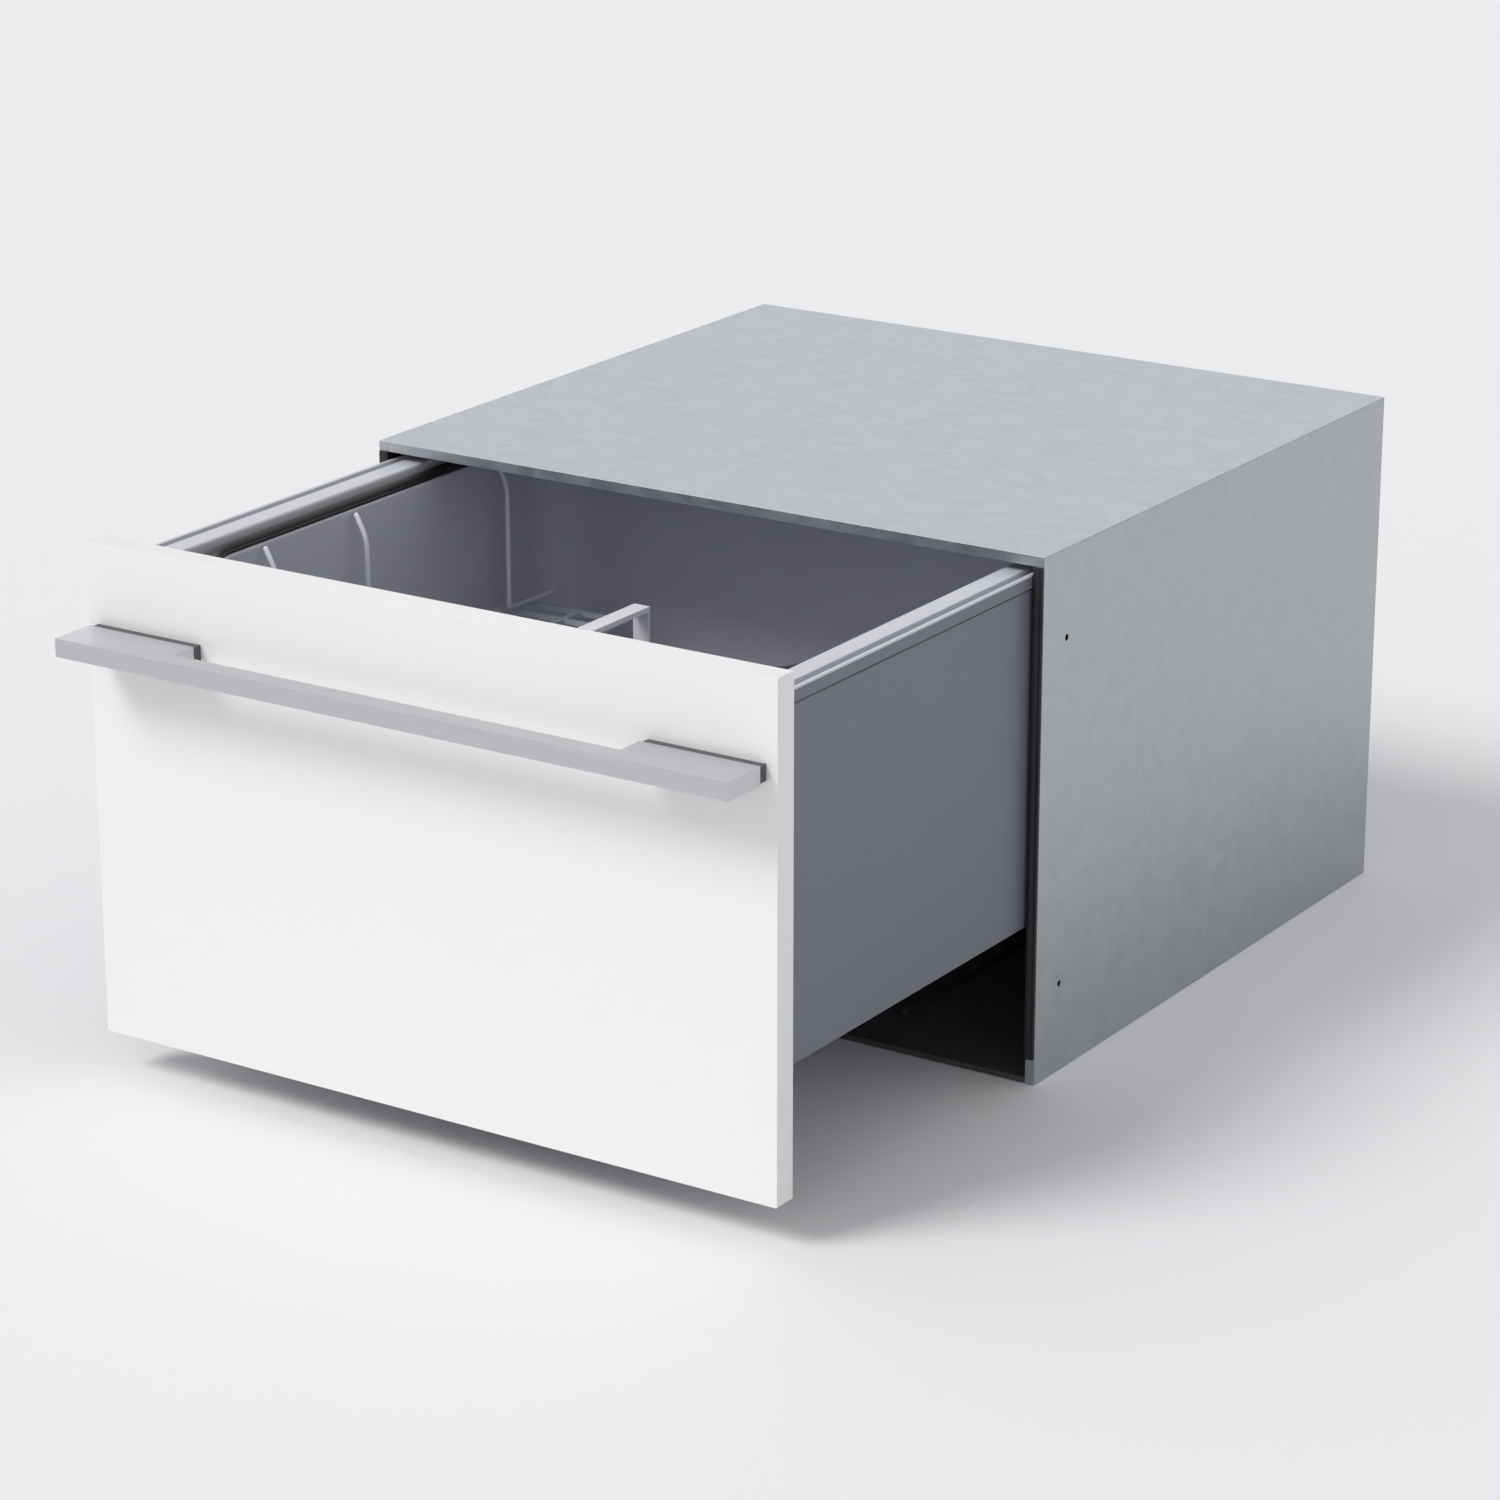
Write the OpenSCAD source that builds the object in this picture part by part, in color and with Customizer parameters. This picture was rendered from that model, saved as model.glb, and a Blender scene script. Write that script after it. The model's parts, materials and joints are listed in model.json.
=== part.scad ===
// Built-in dishwasher drawer: a fixed chassis, telescopic slides and a wash drawer behind a furniture panel.
// X runs across, Y runs into the cabinet, Z is up. The origin is the middle of the chassis' front edge,
// on its underside. Everything is drawn with the drawer shut and then slid out by drawer_open.

/* [Chassis] */
// Width over the side sheets
chassis_w = 599; // [590:1:620]
// Height over the top sheet
chassis_h = 409; // [405:1:430]
// Depth, without the hose spigots
chassis_d = 553; // [548:1:600]
// Thickness of the folded steel sheets
sheet_t = 1; // [0.8:0.1:1.4]
// Thickness of the black side liners
liner_t = 2; // [1.6:0.1:2.6]
// Width of the folds along the front edges
fold_w = 8; // [7:0.5:9]
// Thickness of the base tray
tray_t = 3; // [2:0.5:4]
// Height of the base tray's side walls
tray_wall_h = 40; // [30:1:50]
// Height of the base tray's front lip
tray_lip_h = 1.5; // [1:0.5:8]
// Radius of the fixing screw holes
screw_hole_r = 2.5; // [2:0.1:3]
// Distance of the side screws behind the front edge
screw_setback = 35; // [25:1:45]
// Radius of the floor screw holes in the base tray
floor_hole_r = 4; // [3:0.5:5]
// Distance of the floor screws from the side sheets
floor_screw_x = 75; // [65:1:85]
// Distance of the floor screws from the front and back edges
floor_screw_y = 54; // [40:1:60]
// Height of the lower screw in each side sheet
side_screw_low = 70; // [60:1:78]
// Height of the upper screw in each side sheet
side_screw_high = 340; // [300:1:350]

/* [Door panel] */
// Height of the furniture panel
panel_h = 381; // [370:1:395]
// Thickness of the furniture panel
panel_t = 20; // [16:1:22]
// How far the panel is narrower than the chassis, each side
panel_reveal = 1.5; // [0.5:0.5:4]
// How far the panel's top edge stands over the chassis
panel_over = 3; // [1:0.5:5]
// Gap between the shut panel and the chassis' front edge
panel_gap = 3; // [3:0.5:5]
// Radius of the panel's corner arrises
panel_arris = 1; // [0.5:0.5:2]

/* [Handle] */
// Length of the handle
handle_w = 580; // [400:1:585]
// Height of the bar's face
bar_h = 14; // [10:1:20]
// Thickness of the bar, front to back
bar_t = 16; // [10:1:18]
// How far the handle stands out from the panel
handle_out = 47; // [42:1:55]
// Width of each foot
foot_w = 97; // [60:1:120]
// Thickness of the dark pad behind each foot
pad_t = 9; // [4:1:12]
// Drop from the panel's top edge to the bar's top
handle_drop = 60; // [45:1:90]
// Radius of the handle screws
handle_screw_r = 2; // [1.5:0.5:2.5]

/* [Drawer] */
// How far the drawer stands open at rest
drawer_open = 328; // [0:1:500]
// Air between the drawer's rim and each liner
side_air = 6.5; // [6:0.5:8]
// Depth of the front frame behind the panel
frame_d = 40.5; // [36:0.5:44]
// Wall thickness of the front frame
frame_wall = 3; // [2:0.5:4]
// Height of the front frame's underside
frame_foot = 60; // [50:1:80]
// Width of the light rim caps
cap_w = 28; // [26:1:30]
// How far the caps stand over the lid gasket
cap_over = 5; // [4:0.5:6]
// How far the caps stand out from the side panels
cap_lip = 1.5; // [1:0.5:2.5]
// Thickness of the side and rear panels
skin_t = 2; // [1.5:0.5:2.5]

/* [Tub] */
// Length of the tub inside, front to back
tub_l = 450; // [435:1:455]
// Thickness of the tub's walls
tub_wall = 3; // [2:0.5:3.5]
// Height of the ledge that the basket stands on
ledge_z = 126; // [122:1:132]
// Width of that ledge
ledge_w = 17; // [15:1:18]
// Height of the tub's floor
floor_z = 95; // [92:1:96]
// Radius of the tub's upright corners
corner_r = 40; // [30:1:50]
// Width of the lid gasket
gasket_w = 8; // [6:0.5:8.5]
// Height of the lid gasket
gasket_h = 7; // [5:0.5:8]
// Radius of the sump
sump_r = 115; // [105:1:120]
// Depth of the sump
sump_d = 30; // [28:1:32]

/* [Lid] */
// Thickness of the lid
lid_t = 9.2; // [8:0.2:9.6]
// How far the lid comes down to seal
lid_drop = 7; // [5:0.5:8]
// Thickness of the lid's skin and ribs
lid_skin = 2.5; // [2:0.5:3]

/* [Slides] */
// Height of each telescopic slide
slide_h = 32; // [31:0.5:34]
// Thickness of the slide, side to side
slide_t = 13; // [12.5:0.5:14]
// Length of each slide member
slide_l = 455; // [420:1:458]
// Sheet thickness of the slide members
slide_metal = 1.5; // [1.2:0.1:1.7]
// Radius of the slide's balls
ball_r = 1.5; // [1.2:0.1:1.6]
// Sheet thickness of the rails that carry the tub
rail_t = 2; // [1.5:0.5:2.5]

/* [Basket] */
// Radius of the basket's wire
wire_r = 2; // [1.5:0.25:2.5]
// Pitch of the floor wires
wire_pitch = 40; // [36:1:43]
// Height of the plate tines
tine_h = 66; // [50:1:66]
// Lean of the upright tines
tine_lean = 10; // [5:1:14]
// Pitch of the plate tines
tine_pitch = 26; // [22:1:34]
// Height of the cup racks' hinge wire
cup_hinge_z = 262; // [250:1:275]
// Reach of a cup rack from its hinge
cup_rack_w = 96; // [70:1:98]
// Length of a cup rack
cup_rack_l = 175; // [160:1:180]
// Thickness of a cup rack
cup_rack_t = 3.5; // [3:0.5:4.5]
// Length of the cutlery basket
cutlery_l = 176; // [120:1:180]
// Width of the cutlery basket
cutlery_w = 78; // [60:1:84]
// Height of the cutlery basket's walls
cutlery_h = 150; // [110:1:170]

/* [Wash system] */
// Radius of the spray arm
arm_r = 195; // [150:1:200]
// Thickness of the spray arm
arm_t = 12; // [9:1:13]
// Radius of the spray arm's pivot
pivot_r = 8; // [6:0.5:9]
// Radius of the lift-out drain filter
drain_filter_r = 20; // [16:1:22]
// Radius of the pump impeller
impeller_r = 38; // [30:1:40]
// Radius of the pump shaft
shaft_r = 5; // [4:0.5:6]
// Radius of the wash motor
motor_r = 55; // [48:1:60]
// Radius of the heating element's tube
heater_r = 4; // [3:0.5:4]

/* [Controls and dispenser] */
// Thickness of the control strip
strip_t = 4; // [3:0.5:5]
// Radius of the push buttons
button_r = 6; // [4.5:0.5:7]
// Travel of the push buttons
button_travel = 1.2; // [0.8:0.1:1.5]
// Width of the detergent dispenser
dispenser_w = 124; // [116:1:130]
// Height of the detergent dispenser
dispenser_h = 84; // [76:1:90]
// Depth of the dispenser's body
dispenser_d = 30; // [24:1:32]
// Radius of the rinse aid cap
rinse_r = 16; // [12:1:17]

/* [Services] */
// Radius of the water inlet spigot
inlet_r = 13.2; // [12:0.1:14]
// Radius of the drain spigot
drain_r = 9.5; // [8:0.5:10.5]
// How far the spigots stand out behind
spigot_l = 14; // [10:1:20]

/* [Hidden] */
$fn = 48;
flats = 6;          // sides of a plain wire, which lies with a flat on top
air = 0.3;          // clearance between pieces that move past each other
run = 0.1;          // radial clearance of a shaft in its bore
bite = 1;           // overlap that joins two shapes of one piece
through = 1;        // how far a cutting tool runs past a face

// Widths, measured from the middle plane
half_out = chassis_w / 2;
half_in = half_out - sheet_t;                 // inner face of the side sheets
liner_in = half_in - liner_t;                 // inner face of the liners
drawer_half = liner_in - side_air;            // outer face of the rim caps
skin_out = drawer_half - cap_lip;             // outer face of the side panels
skin_in = skin_out - skin_t;
cap_in = drawer_half - cap_w;                 // inner edge of the rim caps
lid_half = cap_in - 1;
mouth_half = cap_in - gasket_w - 2;           // inner face of the tub's upper walls
low_half = mouth_half - ledge_w;              // inner face of the tub's lower walls
panel_w = chassis_w - 2 * panel_reveal;

// Heights
gasket_top = chassis_h - sheet_t - 1.5 - lid_t - lid_drop - air;
flange_top = gasket_top - gasket_h;           // top of the tub's rim flange
cap_top = gasket_top + cap_over;
strip_z = cap_top - strip_t;                  // underside of the control strip
panel_top = chassis_h + panel_over;
shelf_z = ledge_z - tub_wall;                 // underside of the tub's shoulder, on the rails
slide_z = shelf_z + 4 + slide_h / 2;          // middle of the slides, beside the tub
lid_z = gasket_top + air + lid_drop;          // underside of the raised lid
sump_z = floor_z - sump_d;                    // floor of the sump
bar_top = panel_top - handle_drop;
bar_mid = bar_top - bar_h / 2;

// Depths, with the drawer shut
panel_back = -panel_gap;
panel_front = panel_back - panel_t;
frame_back = panel_back + frame_d;
flange_front = frame_back;
tub_front = flange_front + gasket_w + 2;      // inner face of the tub's front wall
tub_back = tub_front + tub_l;
flange_back = tub_back + gasket_w;
drawer_back = flange_back + skin_t;
tub_mid = (tub_front + tub_back) / 2;
bar_front = panel_front - handle_out;

// Slide sections, measured from the slide's middle height
slide_out = skin_in - 2.5;                    // outer face of the outer members
rail_x = slide_out - slide_t;                 // outer face of the rails' upright flanges
slide_foot_l = 40;
slide_foot_t = 1.5;
slide_foot_z = shelf_z - 11;                  // underside of the feet, which pass under the side panels
race = 2 * ball_r + 0.4;
outer_in = slide_h / 2 - slide_metal;         // inside of the outer member's flanges
middle_out = outer_in - race;
middle_in = middle_out - slide_metal;
inner_out = middle_in - race;
slide_y = frame_back + 4;                     // front end of the shut slides
cage_l = slide_l / 2 - 30;                    // length of the ball cages
ball_pitch = 28;

// Lid straps and actuators
strap_w = 16;
strap_t = 2;
strap_y = tub_front + 30;                     // front edge of the front straps
actuator_d = 41.5;                            // depth of an actuator, which hangs on the back sheet
actuator_y = chassis_d - sheet_t - actuator_d;
rear_strap_y = actuator_y + 5;
rear_strap_arm_y = min(flange_back, rear_strap_y) - 20;
rear_strap_x = lid_half - 38;
strap_top = lid_z + lid_t;
actuator_w = 40;
actuator_h = 60;
actuator_top = chassis_h - 70;
strap_grip = 20;                              // how deep a rear strap stands in its actuator

// Screws of the door panel
handle_screw_x = [for (s = [-1, 1]) for (d = [20, foot_w - 20]) s * (handle_w / 2 - d)];
bracket_x = panel_w / 2 - 80;
bracket_z = [120, 300];
bracket_w = 40;
bracket_t = 3;
bracket_screw_r = 2.2;
bracket_screw_bite = 12;                      // depth of the bracket screws in the panel
screw_head_h = 2.4;

// Basket
rack_half = low_half + wire_r + 0.5;          // middle of the rim wire, on the ledge
rack_inset = mouth_half - rack_half;
rack_front = tub_front + rack_inset;
rack_back = tub_back - rack_inset;
rack_corner_r = corner_r - 6;
rack_z = ledge_z + wire_r;                    // middle of the rim wire
floor_wire_z = rack_z + 2 * wire_r - bite;    // middle of the floor wires
floor_top = floor_wire_z + wire_r * cos(180 / flats);
wires_x = floor((rack_half - 20) / wire_pitch); // floor wires each side of the middle one
wires_y = floor((rack_back - rack_front - 40) / 2 / wire_pitch);
end_wire_h = 76;                              // height of the wires at the basket's ends
post_x = rack_half;                           // upright side wires, on the rim wire
post_y = [tub_front + 72, tub_front + 182, tub_front + 364];
post_bend_z = flange_top - 21;
hinge_x = post_x - wire_r - 1;
cup_y = [tub_front + 22, tub_front + 214];    // front ends of the cup racks
clip_y = [15, 130];                           // hinge clips along a cup rack
clip_l = 10;
tine_z = floor_top + 4;                       // axis of the folding tine rows
tine_rod_r = 2.5;
tine_rows = [[-80, 40, 314], [40, 224, 184], [120, 40, 340], [200, 54, 314]]; // X aimed at, start, length
saddle_w = 6;                                 // saddles that hold a row's ends
saddle_half = 5;
cutlery_x = tine_x(tine_rows[2]) - tine_h - 8 - cutlery_w;
cutlery_y = tub_front + 22;

// Wash system
plate_t = 3;
plate_z = floor_z - 6;                        // underside of the filter plate
boss_top = plate_z + plate_t + 7;             // shoulder under the spray arm
pivot_top = boss_top + 18;
filter_x = 66;                                // drain filter, from the middle of the sump
heater_ring_r = 95;
heater_foot_h = 4;                            // air under the heating element
motor_top = sump_z - tub_wall;
motor_h = motor_top - 20;

// Controls and dispenser
board_half = 120;                             // half width and height of the main controller
board_h = 45;
switch_half = 80;                             // half width of the switch board
button_x = [-60, -20, 20, 60];
button_y = panel_back + frame_d / 2;
dispenser_x = -76;                            // middle of the dispenser
dispenser_z = flange_top - 93;
dispenser_face = tub_front + 4;               // its face stands into the tub
cup_wall = 2.5;
cup_open_w = dispenser_w - 2 * rinse_r - 22;  // width of the detergent cup
cup_x = dispenser_x - dispenser_w / 2 + 6 + cup_open_w / 2;
rinse_x = dispenser_x + dispenser_w / 2 - rinse_r - 5;
flap_t = 3;
flap_hinge_x = cup_x - cup_open_w / 2 - 1;
flap_hinge_y = dispenser_face + air + flap_t;
knuckle_r = 2.2;
knuckle_h = 8;
flap_knuckle_z = [dispenser_z - dispenser_h / 2 + 2, dispenser_z + dispenser_h / 2 - 2 - knuckle_h];

// Services at the back
inlet_x = half_in - 60;
drain_x = half_in - 120;
gland_x = -half_in + 60;
service_z = 60;
collar_t = 4;

// ---------- helpers ----------

// Slides its children out with the drawer
module out() { translate([0, -drawer_open, 0]) children(); }

// Slides its children out with the middle members, which move half as far
module half_way() { translate([0, -drawer_open / 2, 0]) children(); }

// Draws its children for one side: 1 is right and -1 is left
module side(s) { mirror([s < 0 ? 1 : 0, 0, 0]) children(); }

// A box from one corner to another
module block(low, high) { translate(low) cube(high - low); }

// A flat shape in X and Z, drawn out along Y
module along_y(y0, y1) { translate([0, y1, 0]) rotate([90, 0, 0]) linear_extrude(y1 - y0) children(); }

// A rod along Y, across X or upright
module rod_y(x, z, y0, y1, r) { translate([x, y0, z]) rotate([-90, 0, 0]) cylinder(h = y1 - y0, r = r); }
module rod_x(x0, x1, y, z, r) { translate([x0, y, z]) rotate([90, 0, 90]) cylinder(h = x1 - x0, r = r); }
module rod_z(x, y, z0, z1, r) { translate([x, y, z0]) cylinder(h = z1 - z0, r = r); }

// Corner points of a rectangle with round corners, each an arc of a few flats
function round_points(x0, y0, x1, y1, r, n = 8) = [
    for (c = [[x1 - r, y1 - r, 0], [x0 + r, y1 - r, 90], [x0 + r, y0 + r, 180], [x1 - r, y0 + r, 270]])
        for (i = [0 : n]) [c[0] + r * cos(c[2] + 90 * i / n), c[1] + r * sin(c[2] + 90 * i / n)]
];

// An upright prism with round corners, between two heights
module round_prism(x0, y0, x1, y1, r, z0, z1) {
    translate([0, 0, z0]) linear_extrude(z1 - z0) polygon(round_points(x0, y0, x1, y1, r));
}

// ---------- chassis ----------

module side_sheet(s) color("silver") side(s) difference() {
    union() {
        block([half_in, 0, 0], [half_out, chassis_d, chassis_h - sheet_t]);
        block([half_out - fold_w, 0, 0], [half_out, sheet_t, chassis_h - sheet_t]);
    }
    for (z = [side_screw_low, side_screw_high])
        rod_x(half_in - through, half_out + through, screw_setback, z, screw_hole_r);
}

module top_sheet() color("silver") {
    block([-half_out, 0, chassis_h - sheet_t], [half_out, chassis_d, chassis_h]);
    block([-half_out + fold_w, 0, chassis_h - fold_w], [half_out - fold_w, sheet_t, chassis_h]);
}

module back_sheet() color("silver") difference() {
    block([-half_in, chassis_d - sheet_t, 0], [half_in, chassis_d, chassis_h - sheet_t]);
    for (hole = [[inlet_x, inlet_r], [drain_x, drain_r], [gland_x, 8.5]])
        rod_y(hole[0], service_z, chassis_d - sheet_t - through, chassis_d + through, hole[1] - 0.2);
    for (x = [-4 : 4])
        for (z = [chassis_h - 90, chassis_h - 70])
            block([x * 40 - 13, chassis_d - 2 * sheet_t, z], [x * 40 + 13, chassis_d + sheet_t, z + 5]);
}

module base_tray() color("black") difference() {
    union() {
        block([-half_in, sheet_t, 0], [half_in, chassis_d - sheet_t, tray_t]);
        for (s = [-1, 1]) side(s)
            block([half_in - tray_t, sheet_t, 0], [half_in, chassis_d - sheet_t, tray_wall_h]);
        block([-half_in, chassis_d - sheet_t - tray_t, 0], [half_in, chassis_d - sheet_t, service_z - 20]);
        block([-half_out + fold_w, 0, 0], [half_out - fold_w, tray_t, tray_t + tray_lip_h]);
        for (x = [-150, -75, 75, 150]) block([x - 2, 60, 0], [x + 2, chassis_d - 60, tray_t + 5]);
    }
    for (s = [-1, 1]) for (y = [floor_screw_y, chassis_d - floor_screw_y])
        rod_z(s * (half_in - floor_screw_x), y, -through, tray_t + through, floor_hole_r);
}

module side_liner(s) color("#1c1c1e") side(s) difference() {
    union() {
        block([liner_in, sheet_t, tray_wall_h], [half_in, chassis_d - sheet_t, chassis_h - sheet_t - air]);
        // guides for the front lid strap
        for (y = [strap_y - 4, strap_y + strap_w + 1])
            block([liner_in - 4, y, flange_top - 60], [liner_in + bite, y + 3, flange_top - 20]);
    }
    for (z = [side_screw_low, side_screw_high])
        rod_x(liner_in - through, half_in + through, screw_setback, z, 2 * screw_hole_r);
}

module edge_seals() color("#161618") for (s = [-1, 1]) side(s)
    block([drawer_half + 0.8, -panel_gap + 0.6, 20], [half_out - sheet_t, 0, chassis_h - fold_w]);

// ---------- slides ----------

// A folded channel along Y: its web spans x0 to x1 and its two flanges reach to x2
module channel(x0, x1, x2, half_h) {
    along_y(slide_y, slide_y + slide_l) {
        translate([x0, slide_z - half_h]) square([x1 - x0, 2 * half_h]);
        for (z = [slide_z - half_h, slide_z + half_h - slide_metal])
            translate([min(x0, x2), z]) square([max(x1, x2) - min(x0, x2), slide_metal]);
    }
}

// Each outer member hangs on two feet that pass under the side panel and are riveted to the liner
module outer_slides() color("#4b4c50") for (s = [-1, 1]) side(s) {
    channel(slide_out - slide_metal, slide_out, slide_out - 9, slide_h / 2);
    foot_x = slide_out + slide_foot_t;
    for (y = [slide_y + 40, slide_y + slide_l - 80]) {
        block([slide_out - slide_metal / 2, y, slide_foot_z],
            [foot_x, y + slide_foot_l, slide_z + slide_h / 2]);
        block([slide_out - slide_metal / 2, y, slide_foot_z], [liner_in, y + slide_foot_l, slide_foot_z + 2]);
    }
}

module slide_middle(s) color("#55565a") half_way() side(s)
    channel(slide_out - 5, slide_out - 5 + slide_metal, rail_x + 3, middle_out);

module inner_slides() color("#4b4c50") out() for (s = [-1, 1]) side(s)
    channel(rail_x, rail_x + slide_metal, rail_x + 6, inner_out);

// One row of balls in its cage
module ball_row(x, y0, z) {
    block([x - 1, y0, z - 0.5], [x + 1, y0 + cage_l, z + 0.5]);
    for (y = [y0 + 8 : ball_pitch : y0 + cage_l - 8]) translate([x, y, z]) sphere(r = ball_r, $fn = 24);
}

// Rows between the outer and the middle member, and between the middle and the inner one
module ball_cages(s) color("#c9c9cc") half_way() side(s) for (t = [-1, 1]) {
    ball_row(slide_out - 6.5, slide_y + slide_l - 10 - cage_l, slide_z + t * (outer_in + middle_out) / 2);
    ball_row(slide_out - 8.5, slide_y + 5, slide_z + t * (middle_in + inner_out) / 2);
}

// ---------- lid ----------

module lid_plate() color("#d7d8dc") {
    y0 = flange_front + 1;
    y1 = flange_back;
    difference() {
        round_prism(-lid_half, y0, lid_half, y1, 12, lid_z, lid_z + lid_t);
        round_prism(-lid_half + lid_skin, y0 + lid_skin, lid_half - lid_skin, y1 - lid_skin, 10,
            lid_z + lid_skin, lid_z + lid_t + through);
    }
    for (x = [-2 : 2])
        block([x * 100 - 1, y0 + 1, lid_z + 1], [x * 100 + 1, y1 - 1, lid_z + lid_t - strap_t]);
}

// Straps that carry the lid: the front pair slides in the liners' guides, the rear pair in the actuators
module lid_straps() color("#b5b7ba") for (s = [-1, 1]) side(s) {
    top = strap_top + 1;
    block([lid_half - 30, strap_y, strap_top], [liner_in - 1, strap_y + strap_w, top]);
    block([liner_in - 1 - strap_t, strap_y, flange_top - 50], [liner_in - 1, strap_y + strap_w, top]);
    block([rear_strap_x - strap_w / 2, rear_strap_arm_y, strap_top],
        [rear_strap_x + strap_w / 2, rear_strap_y + strap_t, top]);
    block([rear_strap_x - strap_w / 2, rear_strap_y, actuator_top - strap_grip],
        [rear_strap_x + strap_w / 2, rear_strap_y + strap_t, top]);
}

// The actuators hang on the back sheet, and each holds the foot of a rear strap in its slot
module lid_actuators() color("#2b2b2e") for (s = [-1, 1]) side(s) difference() {
    block([rear_strap_x - actuator_w / 2, actuator_y, actuator_top - actuator_h],
        [rear_strap_x + actuator_w / 2, chassis_d - sheet_t, actuator_top]);
    block([rear_strap_x - strap_w / 2 - air, rear_strap_y - air, actuator_top - strap_grip - lid_drop - 2],
        [rear_strap_x + strap_w / 2 + air, rear_strap_y + strap_t + air, actuator_top + through]);
}

// ---------- services ----------

// A collared spigot through the back sheet, with its valve or elbow inside
module spigot(x, r, body_w, body_h) {
    rod_y(x, service_z, chassis_d - sheet_t - collar_t, chassis_d, r - 0.5);
    rod_y(x, service_z, chassis_d, chassis_d + spigot_l, r);
    block([x - body_w / 2, chassis_d - sheet_t - collar_t - 26, service_z - body_h / 2],
        [x + body_w / 2, chassis_d - sheet_t - collar_t + bite, service_z + body_h / 2]);
}

module water_inlet() color("#e6e6e2") difference() {
    union() {
        spigot(inlet_x, inlet_r, 34, 34);
        rod_z(inlet_x, chassis_d - 20, service_z + 16, service_z + 44, 12);
    }
    rod_y(inlet_x, service_z, chassis_d - 16, chassis_d + spigot_l + through, inlet_r - 4);
}

module drain_outlet() color("#3a3a3d") difference() {
    spigot(drain_x, drain_r, 26, 26);
    rod_y(drain_x, service_z, chassis_d - 16, chassis_d + spigot_l + through, drain_r - 2.5);
}

module power_gland() color("#202022") difference() {
    union() {
        rod_y(gland_x, service_z, chassis_d - sheet_t - 10, chassis_d + 4, 8);
        rod_y(gland_x, service_z, chassis_d, chassis_d + 3, 11);
        block([gland_x - 30, chassis_d - 35, service_z - 20],
            [gland_x + 30, chassis_d - sheet_t - 6, service_z + 30]);
    }
    rod_y(gland_x, service_z, chassis_d - sheet_t - 9, chassis_d + 4 + through, 4.2);
}

// ---------- door panel and handle ----------

module door_panel() color("white") out() difference() {
    translate([0, panel_back, 0]) rotate([90, 0, 0]) linear_extrude(panel_t)
        polygon(round_points(-panel_w / 2, panel_top - panel_h, panel_w / 2, panel_top, panel_arris, 3));
    for (x = handle_screw_x)
        rod_y(x, bar_mid, panel_front - through, panel_back + through, handle_screw_r + air);
    for (s = [-1, 1]) for (z = bracket_z)
        rod_y(s * bracket_x, z, panel_back - bracket_screw_bite, panel_back + through, bracket_screw_r);
}

// A bar with a wide foot at each end, cut from one flat section
module handle() color("#c2c3c5") out() difference() {
    translate([0, 0, bar_top - bar_h]) linear_extrude(bar_h) {
        translate([-handle_w / 2, bar_front]) square([handle_w, bar_t]);
        for (s = [-1, 1]) translate([s * (handle_w / 2 - foot_w / 2) - foot_w / 2, bar_front])
            square([foot_w, handle_out - pad_t]);
    }
    for (x = handle_screw_x)
        rod_y(x, bar_mid, bar_front + bar_t, panel_front - pad_t + through, handle_screw_r);
}

module handle_pads() color("#58595c") out() difference() {
    for (s = [-1, 1]) translate([s * (handle_w / 2 - foot_w / 2), 0, 0])
        block([-foot_w / 2 + 1, panel_front - pad_t, bar_top - bar_h + 1],
            [foot_w / 2 - 1, panel_front, bar_top - 1]);
    for (x = handle_screw_x)
        rod_y(x, bar_mid, panel_front - pad_t - through, panel_front + through, handle_screw_r + air);
}

// Handle screws, whose heads lie in pockets of the front frame, and the bracket screws
module panel_screws() color("#9c9da0") out() {
    for (x = handle_screw_x) {
        rod_y(x, bar_mid, bar_front + bar_t + 2, panel_back, handle_screw_r);
        rod_y(x, bar_mid, panel_back, panel_back + screw_head_h, 2 * handle_screw_r);
    }
    head_y = panel_back + frame_wall + bracket_t;
    for (s = [-1, 1]) for (z = bracket_z) {
        rod_y(s * bracket_x, z, panel_back - bracket_screw_bite, head_y, bracket_screw_r);
        rod_y(s * bracket_x, z, head_y, head_y + screw_head_h, 2 * bracket_screw_r);
    }
}

// Steel plates inside the front frame that the panel is screwed to
module panel_brackets() color("#a8aaad") out() for (s = [-1, 1]) difference() {
    block([s * bracket_x - bracket_w / 2, panel_back + frame_wall, bracket_z[0] - 20],
        [s * bracket_x + bracket_w / 2, panel_back + frame_wall + bracket_t, bracket_z[1] + 20]);
    for (z = bracket_z)
        rod_y(s * bracket_x, z, panel_back, panel_back + frame_wall + bracket_t + through,
            bracket_screw_r + air);
}

// ---------- drawer body ----------

// An upright rectangle about the middle plane, inset on every side
module tier(half_w, z0, z1, inset) {
    translate([-half_w + inset, z0 + inset]) square([2 * (half_w - inset), z1 - z0 - 2 * inset]);
}

// The frame's outline seen from the front: narrow below the side panels, widest between them
module frame_outline(inset) {
    tier(low_half + tub_wall + 12, frame_foot, strip_z, inset);
    tier(skin_in, shelf_z, flange_top, inset);
    tier(cap_in - 0.5, shelf_z, strip_z, inset);
}

module front_frame() color("#77787f") out() difference() {
    along_y(panel_back, frame_back) frame_outline(0);
    along_y(panel_back + frame_wall, frame_back + through) frame_outline(frame_wall);
    for (x = handle_screw_x)
        rod_y(x, bar_mid, panel_back - through, panel_back + frame_wall + through, 2 * handle_screw_r + 1);
    for (s = [-1, 1]) for (z = bracket_z)
        rod_y(s * bracket_x, z, panel_back - through, panel_back + frame_wall + through,
            bracket_screw_r + air);
    for (x = button_x) rod_z(x, button_y, strip_z - frame_wall - through, strip_z + through, button_r - 1);
}

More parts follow.
